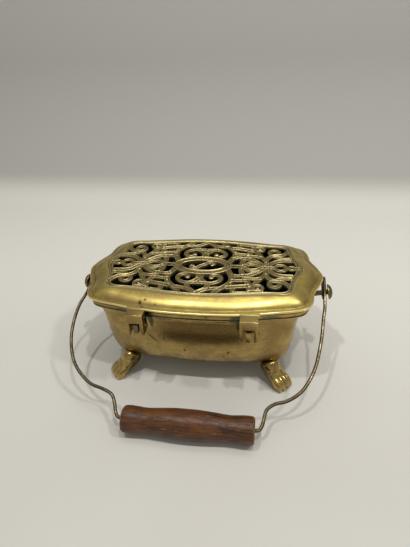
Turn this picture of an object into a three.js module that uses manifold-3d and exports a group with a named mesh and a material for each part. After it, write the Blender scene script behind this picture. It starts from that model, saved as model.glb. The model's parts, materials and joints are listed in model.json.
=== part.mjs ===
// A footed brass hand warmer: a bombe tub on paw feet, a hinged lid with a pierced strapwork
// panel, a lift-out ember pan, and a wire bail with a turned wooden grip that lies in front.
// Millimetres, +Z up, +X along the tub, -Y towards the hinges and the lying bail.
import * as THREE from "three";
import { mergeVertices } from "three/addons/utils/BufferGeometryUtils.js";
import Module from "manifold-3d";

const wasm = await Module();
wasm.setup();

// Overall sizes
const HALF_LENGTH = 107;
const HALF_DEPTH = 63.5;
const TUB_BOTTOM = 18.5;
const RIM_TOP = 83;
const GAP = 0.3;
const CUT_PAST = 2;
const PIN_GAP = 0.25;
const POINTS_PER_SPAN = 2;

// Outlines: one quarter each, as shares of the half length and half depth, from the +X axis
// round to the +Y axis. All have the same number of points, so rings can be lofted between them.
const RIM_LINE = [
  [1, 0],
  [0.967, 0.205],
  [0.911, 0.425],
  [0.905, 0.535],
  [0.888, 0.661],
  [0.846, 0.764],
  [0.748, 0.835],
  [0.613, 0.885],
  [0.426, 0.952],
  [0.234, 0.989],
  [0, 1],
];
const BASE_LINE = [
  [0.748, 0],
  [0.738, 0.142],
  [0.71, 0.299],
  [0.707, 0.394],
  [0.701, 0.504],
  [0.673, 0.602],
  [0.607, 0.658],
  [0.514, 0.687],
  [0.374, 0.718],
  [0.196, 0.746],
  [0, 0.756],
];
const SEAM_LINE = [
  [0.832, 0],
  [0.817, 0.126],
  [0.778, 0.252],
  [0.757, 0.362],
  [0.748, 0.488],
  [0.732, 0.592],
  [0.687, 0.646],
  [0.561, 0.657],
  [0.383, 0.688],
  [0.187, 0.734],
  [0, 0.751],
];
const PIERCED_LINE = [
  [0.779, 0],
  [0.768, 0.118],
  [0.742, 0.228],
  [0.727, 0.339],
  [0.716, 0.457],
  [0.699, 0.548],
  [0.66, 0.589],
  [0.542, 0.603],
  [0.374, 0.643],
  [0.187, 0.685],
  [0, 0.702],
];

// Tub profile, outside and inside, both going up: share of the wall's height, then the share of
// the way from the rim line to the base line, along X and along Y.
const TUB_OUTSIDE = [
  [0, 1.16, 1.2],
  [0.008, 1.05, 1.06],
  [0.035, 0.92, 0.93],
  [0.11, 0.8, 0.73],
  [0.26, 0.71, 0.52],
  [0.44, 0.64, 0.42],
  [0.6, 0.59, 0.39],
  [0.72, 0.53, 0.4],
  [0.8, 0.45, 0.41],
  [0.855, 0.32, 0.37],
  [0.875, 0.23, 0.3],
  [0.88, 0.13, 0.2],
  [1, 0.12, 0.19],
];
const UNDERSIDE_ROWS = 3;
const TUB_INSIDE = [
  [0.054, 1.2, 1.3],
  [0.13, 0.94, 0.97],
  [0.3, 0.81, 0.69],
  [0.6, 0.7, 0.57],
  [0.75, 0.64, 0.57],
  [0.86, 0.45, 0.53],
  [1.02, 0.25, 0.36],
];
const wallHeight = (share) => TUB_BOTTOM + share * (RIM_TOP - TUB_BOTTOM);

// Lid frame profile: share of the way from the rim line to the seam line, height over the rim.
const LID_GAP = 0.3;
const LID_BASE = RIM_TOP + LID_GAP;
const LID_EDGE = 1.7;
const LID_RISE = 8.6;
const PANEL_THICK = 2.5;
const LID_SECTION = [
  [0, 0],
  [0, LID_EDGE],
  [0.25, 2.2],
  [0.33, 3.7],
  [0.45, 5.3],
  [0.6, 6.7],
  [0.78, 7.9],
  [1, LID_RISE],
  [1, LID_RISE - PANEL_THICK],
  [1.13, LID_RISE - PANEL_THICK],
  [1.13, LID_RISE - PANEL_THICK - 1.6],
  [0.6, 4.1],
  [0.4, 0],
];
const PANEL_EDGE_SHARE = 1.018;

// Strapwork of the panel. Each strap: width, then its centre line in the quarter of +X and -Y.
// The table is drawn for the half sizes in STRAP_DRAWN and scales with the lid.
const STRAP_DRAWN = [107, 63.5];
const STRAPS = [
  [3.6, [
    [22.8, 0], [23.6, -6], [26, -12.5], [28, -19], [27.4, -26], [24, -31.6], [19.5, -36.6],
    [16, -41], [14.4, -46],
  ]],
  [2.8, [
    [0, -28.3], [6, -28.7], [12, -28.4], [16.8, -25.6], [19, -21], [17, -16.9], [13, -15.7],
    [10.2, -17.4], [10.4, -20],
  ]],
  [3, [[0, -21.2], [3.6, -25], [7, -28.5]]],
  [3.2, [[0, -43.8], [3.6, -40.6], [7.8, -36.4], [8.8, -32.4], [7.2, -28.6]]],
  [2.8, [[3, -41.6], [8.5, -37.8], [14, -36], [20.5, -35.4]]],
  [3.4, [
    [35.8, 0], [35.4, -6], [36.5, -12], [38.6, -18], [41.2, -24], [43.6, -30], [43.8, -36],
    [42.6, -43],
  ]],
  [2.8, [[26.4, -13.8], [31.5, -15.7], [37.4, -14.6]]],
  [2.8, [[27.8, -23], [33, -22.6], [40.4, -21.8]]],
  [3.4, [[24, -34], [30, -32.8], [36.5, -31.6], [43.5, -29.8]]],
  [3, [[30.4, -33.4], [30.2, -38], [31, -44]]],
  [3, [[31, -42], [37, -41], [43.4, -40.4]]],
  [3.4, [
    [36.6, -14.4], [42, -13.9], [47, -11], [51.6, -6.6], [56, 0], [60.4, 5.6], [65, 10.4],
    [71, 12.7], [80, 13],
  ]],
  [2.6, [[36, -1.4], [39.6, -3.2], [44, -4.4], [48.6, -3.4], [53.4, 0.8]]],
  [2.8, [[39, -19.2], [46, -19.4], [52.8, -17.6]]],
  [3, [
    [56.6, -1], [57, -8.5], [57.4, -13.5], [60, -18.4], [65, -21.2], [70.5, -22.4], [75, -26.5],
    [78.4, -33],
  ]],
  [2.8, [[64, -20.8], [68.4, -17.6], [73, -16.8], [80, -17.2]]],
  [3, [[56.4, -11], [52.8, -17.6], [49.6, -24], [46.8, -29], [46.6, -34]]],
  [3.6, [[43, -39.4], [49, -38.6], [55, -38.8]]],
  [4, [[50.6, -36.4], [50.6, -41]]],
];
// Rings and discs of the panel: centre, middle radius, width; a disc has no middle radius.
const RINGS = [
  [64.2, -26.5, 4.4, 3.8],
  [50.6, -33.2, 3.9, 3],
];
const MID_RINGS = [
  [69.8, 0, 4.9, 3],
  [79.4, 0, 2.7, 2.4],
];
const DISCS = [[10.4, -19.9, 2]];
const OVAL = { halfX: 22.8, halfY: 11.8, width: 4.2, sides: 40 };
const STEM = { half: 3.4, from: -11, to: -22.4 };
const SPINE = { width: 4.4, inner: [53, 64.5], outer: [82, 88] };
const SCROLL = {
  width: 3.8,
  points: [
    [4.8, 6.6], [3, 9.3], [0.3, 7.4], [-0.7, 2.8],
    [0.6, -2.2], [-0.2, -7.2], [-2.8, -9.4], [-4.8, -6.8],
  ],
  ball: 1.9,
};
const SCROLL_BUD = [-3.4, 2.4, 2.5];
const STRAP_STEP = 3.4;
const STRAP_FULLNESS = 1.2;
const PANEL_TOLERANCE = 0.04;

// Hinges: at one point of the rim line, and measured from the rim there
const HINGE_OUT = 1.85;
const HINGE_DROP = 13.5;
const TAB_REACH = 2.8;
const LUG_REACH = 10.3;
const HINGE_SPOT = RIM_LINE[8];
const HINGE_X = HINGE_SPOT[0] * HALF_LENGTH;
const HINGE_RIM = -HINGE_SPOT[1] * HALF_DEPTH;
const HINGE_Y = HINGE_RIM - HINGE_OUT;
const HINGE_Z = RIM_TOP - HINGE_DROP;
const PIN_RADIUS = 1.5;
const PIN_HALF = 8;
const FORK_HALF = 7.1;
const CHEEK = 2.5;
const FORK_FRONT = HINGE_Y - 8.2;
const FORK_BACK = HINGE_Y + 1.5;
const FORK_HEEL = HINGE_Y + 2.8;
const FORK_BOTTOM = HINGE_Z - 4.2;
const FORK_WALL = 2;
const FORK_ROOF = RIM_TOP - 2.8;
const FORK_SHOULDER = RIM_TOP - 6.4;
const FORK_CHAMFER = 1.6;
const FORK_FOLD = 0.5;
const FORK_STEP = 1.5;
const NOTCH_HALF = 4.2;
const NOTCH_TOP = HINGE_Z + 7.5;
const TAB_ROOT = HINGE_RIM + TAB_REACH;
const TAB_ROOT_HALF = 8.4;
const TAB_FLARE = FORK_BACK + 1;
const TAB_NECK = FORK_BACK - 1;
const LUG_HALF_X = 2.5;
const LUG_NOSE = 6.8;
const LUG_TOP = 5.6;
const LUG_DROP = { left: 3.4, right: 6.4 };
const LUG_ROOT = HINGE_RIM + LUG_REACH;

// Bail, its studs and grip
const EYE_CLEAR = 2.2;
const PIVOT_DROP = 14.8;
const PIVOT_X = HALF_LENGTH + EYE_CLEAR;
const PIVOT_Z = RIM_TOP - PIVOT_DROP;
const WIRE_RADIUS = 1.5;
const STUD_RADIUS = 2.3;
const STUD_TILT = THREE.MathUtils.degToRad(12);
const STUD_HEAD = 7;
const STUD_HEAD_FROM = 3.3;
const STUD_DOME = 4.2;
// Outline of the head: share of its radius, share of its height.
const STUD_HEAD_SECTION = [
  [1, 0.05],
  [1, 0.21],
  [0.86, 0.6],
  [0.55, 0.9],
  [0, 1],
];
const STUD_BORE = STUD_RADIUS + PIN_GAP;
const STUD_BITE = 1.2;
const BOSS = { root: 5, tip: 4.2, bite: 1.8, stand: 5.8 };
const END_WALL_SHARE = 0.475;
const endWall = THREE.MathUtils.lerp(RIM_LINE[0][0], BASE_LINE[0][0], END_WALL_SHARE) * HALF_LENGTH;
const wallReach = (PIVOT_X - endWall) / Math.cos(STUD_TILT);
const STUD_ROOT = -wallReach - STUD_BITE;
const BOSS_FROM = -wallReach - BOSS.bite;
const BOSS_TO = BOSS.stand - wallReach;
const EYE_HALF = 4.4;
const EYE_BACK = { left: 0, right: 9.8 };
const EYE_SLOT = { left: 9, right: 10.4 };
const EYE_TURNS = 6;
// Free end of the eye: way past the slot, lift.
const EYE_HOOK = [
  [5.2, 0.6],
  [4.4, -1.7],
  [2.4, -3.7],
];
const EYE_FADE = 0.45;
const GRIP_REACH = 110.2;
const GRIP_LENGTH = 105;
const GRIP_MIDDLE = 1;
const GRIP_BELLY = 11.8;
const BORE_LEAD = 8;
const GRIP_SECTION = [
  [0, 9.4],
  [0.012, 10.4],
  [0.05, 10.8],
  [0.11, 10.5],
  [0.19, 9.95],
  [0.3, 10.9],
  [0.4, 11.6],
  [0.5, GRIP_BELLY],
];
// The arms' way from the eye to the grip: share of the half length, share of the bail's reach.
const ARM_RIGHT = [
  [1.019, 0.14],
  [1.006, 0.222],
  [0.993, 0.33],
  [0.972, 0.439],
  [0.925, 0.592],
  [0.835, 0.73],
  [0.728, 0.801],
  [0.632, 0.83],
  [0.579, 0.868],
  [0.562, 0.92],
  [0.55, 0.966],
  [0.53, 0.994],
];
const ARM_LEFT = [
  [1.036, 0.125],
  [1.071, 0.212],
  [1.086, 0.349],
  [1.074, 0.464],
  [1.034, 0.574],
  [0.976, 0.665],
  [0.897, 0.737],
  [0.8, 0.796],
  [0.69, 0.824],
  [0.611, 0.856],
  [0.573, 0.912],
  [0.553, 0.96],
  [0.527, 0.992],
];

// Feet: share of the half sizes where the leg leaves the tub, and the sections going up: share of
// the tub's height over the floor, way outwards, half width outwards, half width across.
const FOOT_AT = [0.579, 0.63];
const FOOT_OUT = THREE.MathUtils.degToRad(-43);
const FOOT_SECTIONS = [
  [0, 11.2, 7, 8.4],
  [0.11, 11.2, 7.8, 9.2],
  [0.34, 10.4, 7.5, 8.6],
  [0.58, 8, 7, 7.6],
  [0.8, 4.6, 7, 7.2],
  [1, 1.6, 7.8, 7.6],
  [1.2, 0.4, 8.2, 8],
];
// Toes: way outwards and across of each toe's middle.
const TOES = [
  [14.4, -7],
  [15.8, -2.4],
  [15.8, 2.4],
  [14.4, 7],
];
const TOE = { length: 8, half: 2.8, height: 4.6, sink: 1.3, fan: 0.04 };
const FLANGE = { thick: 3, radius: 7 };
const RIVET_AT = [0.5, 0.5];
const RIVET = { radius: 2, head: 4, headHeight: 1.6, depth: 2.2 };
// Outline of the rivet's head: share of its radius, share of its height.
const RIVET_HEAD_SECTION = [
  [1, 0],
  [0.86, 0.6],
  [0.5, 1],
  [0, 1],
];

// Ember pan, hung by its flange on the tub's inner slope: rows as in the tub's profile.
const PAN_OUTSIDE = [
  [0.187, 1.22, 1.36],
  [0.236, 1.08, 1.22],
  [0.744, 0.84, 0.98],
  [0.77, 0.634, 0.606],
];
const PAN_INSIDE = [
  [0.796, 0.634, 0.606],
  [0.796, 0.9, 1.08],
  [0.255, 1.14, 1.32],
  [0.211, 1.26, 1.42],
];

const brass = (color, roughness) =>
  new THREE.MeshStandardMaterial({ color, roughness, metalness: 1 });

function solid(geometry) {
  const bare = new THREE.BufferGeometry();
  bare.setAttribute("position", geometry.getAttribute("position").clone());
  if (geometry.index) bare.setIndex(geometry.index.clone());
  const merged = mergeVertices(bare, 1e-4);
  return new wasm.Manifold(
    new wasm.Mesh({
      numProp: 3,
      vertProperties: Float32Array.from(merged.getAttribute("position").array),
      triVerts: Uint32Array.from(merged.index.array),
    }),
  );
}

function geometryOf(body) {
  const mesh = body.getMesh();
  const geometry = new THREE.BufferGeometry();
  geometry.setAttribute(
    "position",
    new THREE.BufferAttribute(Float32Array.from(mesh.vertProperties), 3),
  );
  geometry.setIndex(new THREE.BufferAttribute(Uint32Array.from(mesh.triVerts), 1));
  geometry.computeVertexNormals();
  return geometry;
}

const union = (bodies) => bodies.reduce((sum, body) => sum.add(body));

// A whole outline from its quarter, as points in order against the clock.
function wholeLine(quarter, halfX, halfY) {
  const last = quarter.length - 1;
  const points = [];
  const put = (i, signX, signY) =>
    points.push(new THREE.Vector3(signX * quarter[i][0] * halfX, signY * quarter[i][1] * halfY, 0));
  for (let i = 0; i < last; i++) put(i, 1, 1);
  for (let i = last; i > 0; i--) put(i, -1, 1);
  for (let i = 0; i < last; i++) put(i, -1, -1);
  for (let i = last; i > 0; i--) put(i, 1, -1);
  return points;
}

function outline(quarter, halfX, halfY, perSpan = POINTS_PER_SPAN) {
  const points = wholeLine(quarter, halfX, halfY);
  const curve = new THREE.CatmullRomCurve3(points, true, "centripetal");
  const count = points.length * perSpan;
  return Array.from({ length: count }, (_, i) => curve.getPoint(i / count));
}

// A ring between the rim line and the base line, at one height; `grow` pushes it outwards and,
// on the tub's underside, down by the same amount.
function levelRing([share, shareX, shareY], perSpan, grow = 0, drop = 0) {
  const z = wallHeight(share) - drop;
  const rim = outline(RIM_LINE, HALF_LENGTH, HALF_DEPTH, perSpan);
  const base = outline(BASE_LINE, HALF_LENGTH, HALF_DEPTH, perSpan);
  return rim.map((p, i) => {
    const x = THREE.MathUtils.lerp(p.x, base[i].x, shareX);
    const y = THREE.MathUtils.lerp(p.y, base[i].y, shareY);
    const away = new THREE.Vector3(x / HALF_LENGTH, y / HALF_DEPTH, 0).normalize();
    return new THREE.Vector3(x + grow * away.x, y + grow * away.y, z);
  });
}

// Rings of equal count, from the first to the last, joined into one closed surface.
function loft(rings, ringLoop = false) {
  const n = rings[0].length;
  const positions = rings.flat().flatMap((p) => [p.x, p.y, p.z]);
  const index = [];
  const bands = ringLoop ? rings.length : rings.length - 1;
  for (let r = 0; r < bands; r++) {
    const next = (r + 1) % rings.length;
    for (let i = 0; i < n; i++) {
      const j = (i + 1) % n;
      const [a, b, c, d] = [r * n + i, r * n + j, next * n + i, next * n + j];
      index.push(a, b, d, a, d, c);
    }
  }
  if (!ringLoop) {
    const cap = (ring, offset, up) => {
      const flat = ring.map((p) => new THREE.Vector2(p.x, p.y));
      for (const [a, b, c] of THREE.ShapeUtils.triangulateShape(flat, [])) {
        const area = THREE.ShapeUtils.area([flat[a], flat[b], flat[c]]);
        const tri = area > 0 === up ? [a, b, c] : [a, c, b];
        index.push(...tri.map((i) => i + offset));
      }
    };
    cap(rings[0], 0, false);
    cap(rings[rings.length - 1], (rings.length - 1) * n, true);
  }
  const geometry = new THREE.BufferGeometry();
  geometry.setAttribute("position", new THREE.Float32BufferAttribute(positions, 3));
  geometry.setIndex(index);
  return geometry;
}

function box(from, to) {
  const size = to.map((v, i) => v - from[i]);
  const geometry = new THREE.BoxGeometry(...size);
  geometry.translate(...from.map((v, i) => v + size[i] / 2));
  return solid(geometry);
}

function rodAlongX(radius, x0, x1, y, z, sides = 16) {
  const geometry = new THREE.CylinderGeometry(radius, radius, x1 - x0, sides);
  geometry.rotateZ(Math.PI / 2);
  geometry.translate((x0 + x1) / 2, y, z);
  return solid(geometry);
}

function slab(points, z, depth, holes = []) {
  const shape = new THREE.Shape(points.map((p) => new THREE.Vector2(p.x, p.y)));
  for (const hole of holes) {
    shape.holes.push(new THREE.Path(hole.map((p) => new THREE.Vector2(p.x, p.y))));
  }
  const geometry = new THREE.ExtrudeGeometry(shape, { depth, bevelEnabled: false, steps: 1 });
  geometry.translate(0, 0, z);
  return solid(geometry);
}

// Where a stud stands: its own +X points out of the end wall, tilted up.
const studFrame = (side) => {
  const tilt = new THREE.Matrix4().makeRotationZ(side > 0 ? 0 : Math.PI);
  tilt.multiply(new THREE.Matrix4().makeRotationY(-STUD_TILT));
  const place = new THREE.Matrix4().makeTranslation(side * PIVOT_X, 0, PIVOT_Z);
  return place.multiply(tilt);
};

function studPiece(side, radiusFrom, radiusTo, from, to, sides = 20) {
  const geometry = new THREE.CylinderGeometry(radiusTo, radiusFrom, to - from, sides);
  geometry.rotateZ(-Math.PI / 2);
  geometry.translate((from + to) / 2, 0, 0);
  return solid(geometry.applyMatrix4(studFrame(side)));
}

// Tub
const levelLoft = (rows, perSpan) => solid(loft(rows.map((row) => levelRing(row, perSpan))));
let tub = levelLoft(TUB_OUTSIDE).subtract(levelLoft(TUB_INSIDE, 1));

// The tub's outside grown by the gap: what stands against the tub is cut back to it.
const tubEnvelope = solid(
  loft(
    TUB_OUTSIDE.map((row, i) => levelRing(row, POINTS_PER_SPAN, GAP, i < UNDERSIDE_ROWS ? GAP : 0)),
  ),
);

// Hinge lugs, standing out from the front wall
function hingeLug(side) {
  const middle = side * HINGE_X;
  const drop = side < 0 ? LUG_DROP.left : LUG_DROP.right;
  const block = box(
    [middle - LUG_HALF_X, HINGE_Y - LUG_NOSE, HINGE_Z - drop],
    [middle + LUG_HALF_X, LUG_ROOT, HINGE_Z + LUG_TOP],
  );
  const pinHole = rodAlongX(
    PIN_RADIUS + PIN_GAP,
    middle - PIN_HALF,
    middle + PIN_HALF,
    HINGE_Y,
    HINGE_Z,
  );
  return block.subtract(tubEnvelope).subtract(pinHole);
}

// Bosses on the end walls, bored for the studs
function studBoss(side) {
  const bore = studPiece(side, STUD_BORE, STUD_BORE, STUD_ROOT - GAP, BOSS_TO + CUT_PAST, 12);
  tub = tub.subtract(bore);
  return studPiece(side, BOSS.root, BOSS.tip, BOSS_FROM, BOSS_TO, 16)
    .subtract(tubEnvelope)
    .subtract(bore);
}
const bosses = { left: studBoss(-1), right: studBoss(1) };

// Lid frame with its two hinge forks
const rimRing = outline(RIM_LINE, HALF_LENGTH, HALF_DEPTH);
const seamRing = outline(SEAM_LINE, HALF_LENGTH, HALF_DEPTH);
const lidRing = ([share, height]) =>
  rimRing.map((p, i) => p.clone().lerp(seamRing[i], share).setZ(LID_BASE + height));
let lidFrame = solid(loft(LID_SECTION.map(lidRing), true));
const forkSide = [
  [TAB_ROOT, LID_BASE],
  [FORK_BACK, LID_BASE],
  [FORK_BACK, FORK_SHOULDER],
  [FORK_HEEL, FORK_SHOULDER - FORK_STEP],
  [FORK_HEEL, FORK_BOTTOM + FORK_CHAMFER],
  [FORK_HEEL - FORK_CHAMFER, FORK_BOTTOM],
  [FORK_FRONT, FORK_BOTTOM],
  [FORK_FRONT, LID_BASE + LID_EDGE - FORK_FOLD],
  [FORK_FRONT + FORK_FOLD, LID_BASE + LID_EDGE],
  [TAB_ROOT, LID_BASE + LID_EDGE],
];
for (const sx of [1, -1]) {
  const middle = sx * HINGE_X;
  const shape = new THREE.Shape(forkSide.map(([y, z]) => new THREE.Vector2(y, z)));
  const side = new THREE.ExtrudeGeometry(shape, {
    depth: 2 * FORK_HALF,
    bevelEnabled: false,
    steps: 1,
  });
  side.applyMatrix4(
    new THREE.Matrix4().makeBasis(
      new THREE.Vector3(0, 1, 0),
      new THREE.Vector3(0, 0, 1),
      new THREE.Vector3(1, 0, 0),
    ),
  );
  side.translate(middle - FORK_HALF, 0, 0);
  const root = slab(
    [
      [-TAB_ROOT_HALF, TAB_ROOT],
      [-TAB_ROOT_HALF, TAB_FLARE],
      [-FORK_HALF, TAB_NECK],
      [FORK_HALF, TAB_NECK],
      [TAB_ROOT_HALF, TAB_FLARE],
      [TAB_ROOT_HALF, TAB_ROOT],
    ].map(([x, y]) => new THREE.Vector2(middle + x, y)),
    LID_BASE,
    LID_EDGE,
  );
  const inner = FORK_HALF - CHEEK;
  const hollow = box(
    [middle - inner, FORK_FRONT + FORK_WALL, FORK_BOTTOM - CUT_PAST],
    [middle + inner, FORK_HEEL + CUT_PAST, FORK_ROOF],
  );
  const notch = box(
    [middle - NOTCH_HALF, FORK_FRONT - CUT_PAST, FORK_BOTTOM - CUT_PAST],
    [middle + NOTCH_HALF, FORK_FRONT + FORK_WALL + GAP, NOTCH_TOP],
  );
  const pinHole = rodAlongX(
    PIN_RADIUS + PIN_GAP,
    middle - FORK_HALF - CUT_PAST,
    middle + FORK_HALF + CUT_PAST,
    HINGE_Y,
    HINGE_Z,
  );
  lidFrame = lidFrame.add(solid(side).subtract(hollow).subtract(notch)).add(root).subtract(pinHole);
}

// Pierced panel: a rim and straps of one thickness, joined
const scaleX = HALF_LENGTH / STRAP_DRAWN[0];
const scaleY = HALF_DEPTH / STRAP_DRAWN[1];
const strapZ = LID_BASE + LID_RISE - PANEL_THICK + GAP;

function strapLine(points) {
  const line = points.map(([x, y]) => new THREE.Vector3(x * scaleX, y * scaleY, 0));
  if (line.length < 3) return line;
  const curve = new THREE.CatmullRomCurve3(line, false, "centripetal");
  return curve.getSpacedPoints(Math.max(2, Math.round(curve.getLength() / STRAP_STEP)));
}

function strap(width, line) {
  const left = [];
  const right = [];
  line.forEach((p, i) => {
    const before = line[Math.max(0, i - 1)];
    const after = line[Math.min(line.length - 1, i + 1)];
    const along = after.clone().sub(before).normalize();
    const across = new THREE.Vector3(-along.y, along.x, 0).multiplyScalar(width / 2);
    left.push(p.clone().add(across));
    right.unshift(p.clone().sub(across));
  });
  return slab([...right.reverse(), ...left.reverse()], strapZ, PANEL_THICK);
}

function disc(x, y, radius, sides = 10) {
  const ring = Array.from({ length: sides }, (_, i) => {
    const angle = (2 * Math.PI * i) / sides;
    return new THREE.Vector2(x + radius * Math.cos(angle), y + radius * Math.sin(angle));
  });
  return ring;
}

const quarters = [
  [1, 1],
  [-1, 1],
  [1, -1],
  [-1, -1],
];
const panelPieces = [];
const roundPiece = (x, y, middle, width) => {
  const outer = disc(x * scaleX, y * scaleY, middle + width / 2, 14);
  const inner = disc(x * scaleX, y * scaleY, middle - width / 2, 10);
  return slab(outer, strapZ, PANEL_THICK, [inner]);
};
for (const [mx, my] of quarters) {
  for (const [width, points] of STRAPS) {
    const line = strapLine(points.map(([x, y]) => [mx * x, my * y]));
    panelPieces.push(strap(width * STRAP_FULLNESS, line));
  }
  for (const [x, y, middle, width] of RINGS) {
    panelPieces.push(roundPiece(mx * x, my * y, middle, width));
  }
  for (const [x, y, radius] of DISCS) {
    panelPieces.push(slab(disc(mx * x * scaleX, my * y * scaleY, radius), strapZ, PANEL_THICK));
  }
}
for (const mx of [1, -1]) {
  for (const [x, y, middle, width] of MID_RINGS) {
    panelPieces.push(roundPiece(mx * x, y, middle, width));
  }
  const along = ([from, to]) =>
    strapLine([
      [mx * from, 0],
      [mx * to, 0],
    ]);
  panelPieces.push(
    strap(SPINE.width, along(SPINE.inner)),
    strap(SPINE.width, along(SPINE.outer)),
    strap(
      2 * STEM.half,
      strapLine([
        [0, mx * STEM.from],
        [0, mx * STEM.to],
      ]),
    ),
  );
}
const ovalLine = (grow) =>
  Array.from({ length: OVAL.sides }, (_, i) => {
    const angle = (2 * Math.PI * i) / OVAL.sides;
    return new THREE.Vector2(
      (OVAL.halfX + grow) * scaleX * Math.cos(angle),
      (OVAL.halfY + grow) * scaleY * Math.sin(angle),
    );
  });
panelPieces.push(
  slab(ovalLine(OVAL.width / 2), strapZ, PANEL_THICK, [ovalLine(-OVAL.width / 2)]),
  strap(SCROLL.width, strapLine(SCROLL.points)),
  slab(disc(SCROLL_BUD[0] * scaleX, SCROLL_BUD[1] * scaleY, SCROLL_BUD[2]), strapZ, PANEL_THICK),
);
for (const [x, y] of [SCROLL.points[0], SCROLL.points[SCROLL.points.length - 1]]) {
  panelPieces.push(slab(disc(x * scaleX, y * scaleY, SCROLL.ball), strapZ, PANEL_THICK));
}
const panelRing = rimRing.map((p, i) => p.clone().lerp(seamRing[i], PANEL_EDGE_SHARE));
const piercedRing = outline(PIERCED_LINE, HALF_LENGTH, HALF_DEPTH);
const panelField = slab(panelRing, strapZ, PANEL_THICK);
const lidPanel = union(panelPieces)
  .intersect(panelField)
  .add(slab(panelRing, strapZ, PANEL_THICK, [piercedRing]))
  .simplify(PANEL_TOLERANCE);

// Hinge pins
const hingePin = (side) =>
  rodAlongX(PIN_RADIUS, side * HINGE_X - PIN_HALF, side * HINGE_X + PIN_HALF, HINGE_Y, HINGE_Z);

// Ember pan
const pan = solid(loft([...PAN_OUTSIDE, ...PAN_INSIDE].map((row) => levelRing(row, 1))));

// Feet and the rivets that hold them
function footRing([share, out, halfOut, halfAcross], sides = 14) {
  const z = share * TUB_BOTTOM;
  const centre = footPoint(out, 0);
  return Array.from({ length: sides }, (_, i) => {
    const angle = (2 * Math.PI * i) / sides;
    const a = halfOut * Math.cos(angle);
    const b = halfAcross * Math.sin(angle);
    return new THREE.Vector3(
      centre.x + a * Math.cos(FOOT_OUT) - b * Math.sin(FOOT_OUT),
      centre.y + a * Math.sin(FOOT_OUT) + b * Math.cos(FOOT_OUT),
      z,
    );
  });
}
function footPoint(out, across) {
  return new THREE.Vector3(
    FOOT_AT[0] * HALF_LENGTH + out * Math.cos(FOOT_OUT) - across * Math.sin(FOOT_OUT),
    -FOOT_AT[1] * HALF_DEPTH + out * Math.sin(FOOT_OUT) + across * Math.cos(FOOT_OUT),
    0,
  );
}
const rivetX = RIVET_AT[0] * HALF_LENGTH;
const rivetY = -RIVET_AT[1] * HALF_DEPTH;
const rivetBottom = TUB_BOTTOM - GAP - RIVET.depth;
const rivetTop = wallHeight(TUB_INSIDE[0][0]) + GAP;
const upright = (radius, z0, z1, x, y, sides = 12) => {
  const geometry = new THREE.CylinderGeometry(radius, radius, z1 - z0, sides);
  geometry.rotateX(Math.PI / 2);
  geometry.translate(x, y, (z0 + z1) / 2);
  return solid(geometry);
};
function footSolid() {
  const leg = solid(loft(FOOT_SECTIONS.map((row) => footRing(row))));
  const toes = TOES.map(([out, across]) => {
    const geometry = new THREE.SphereGeometry(1, 10, 6);
    geometry.rotateX(Math.PI / 2);
    geometry.scale(TOE.length, TOE.half, TOE.height);
    geometry.rotateZ(FOOT_OUT + across * TOE.fan);
    const at = footPoint(out, across);
    geometry.translate(at.x, at.y, TOE.height - TOE.sink);
    return solid(geometry);
  });
  const heel = footPoint(0, 0);
  const flangeTop = TUB_BOTTOM - GAP;
  const flange = upright(
    FLANGE.radius,
    flangeTop - FLANGE.thick,
    flangeTop,
    rivetX,
    rivetY,
  );
  const bridge = slab(
    [
      [rivetX - FLANGE.radius, rivetY],
      [heel.x - FLANGE.radius, heel.y],
      [heel.x + FLANGE.radius, heel.y],
      [rivetX + FLANGE.radius, rivetY],
    ].map(([x, y]) => new THREE.Vector2(x, y)),
    flangeTop - FLANGE.thick,
    FLANGE.thick,
  );
  const above = box([0, -2 * HALF_DEPTH, 0], [2 * HALF_LENGTH, 0, RIM_TOP]);
  const rivetHole = upright(
    RIVET.radius + PIN_GAP,
    rivetBottom - GAP,
    flangeTop + CUT_PAST,
    rivetX,
    rivetY,
  );
  return union([leg, ...toes, flange, bridge])
    .intersect(above)
    .subtract(tubEnvelope)
    .subtract(rivetHole);
}
const foot = geometryOf(footSolid());
const rivetHoles = quarters.map(([mx, my]) =>
  upright(RIVET.radius + PIN_GAP, TUB_BOTTOM - CUT_PAST, rivetTop + CUT_PAST, mx * rivetX, my * rivetY),
);
tub = tub.subtract(union(rivetHoles));
const rivetProfile = [
  [0, rivetBottom],
  [RIVET.radius, rivetBottom],
  [RIVET.radius, rivetTop],
  ...RIVET_HEAD_SECTION.map(([r, z]) => [r * RIVET.head, rivetTop + z * RIVET.headHeight]),
].map(([r, z]) => new THREE.Vector2(r, z));
const rivet = new THREE.LatheGeometry(rivetProfile, 12);
rivet.rotateX(Math.PI / 2);

// Studs that carry the bail
const studProfile = [
  [0, STUD_ROOT],
  [STUD_RADIUS, STUD_ROOT],
  [STUD_RADIUS, STUD_HEAD_FROM],
  ...STUD_HEAD_SECTION.map(([r, x]) => [r * STUD_HEAD, STUD_HEAD_FROM + x * STUD_DOME]),
].map(([r, x]) => new THREE.Vector2(r, x));
const studGeometry = (side) => {
  const geometry = new THREE.LatheGeometry(studProfile, 18);
  geometry.rotateZ(-Math.PI / 2);
  return geometry.applyMatrix4(studFrame(side));
};

// Bail wire: one sweep from eye to eye, through the grip
const pivot = new THREE.Vector3(0, 0, PIVOT_Z);
const gripAt = new THREE.Vector3(0, -GRIP_REACH, GRIP_BELLY);
const reachWay = gripAt.clone().sub(pivot);
const REACH = reachWay.length();
reachWay.normalize();
const liftWay = new THREE.Vector3(0, reachWay.z, -reachWay.y);
const onBail = (x, reach, lift) =>
  pivot.clone().addScaledVector(reachWay, reach).addScaledVector(liftWay, lift).setX(x);

class PointwiseCurve extends THREE.CatmullRomCurve3 {
  getUtoTmapping(u) {
    return u;
  }
}

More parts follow.
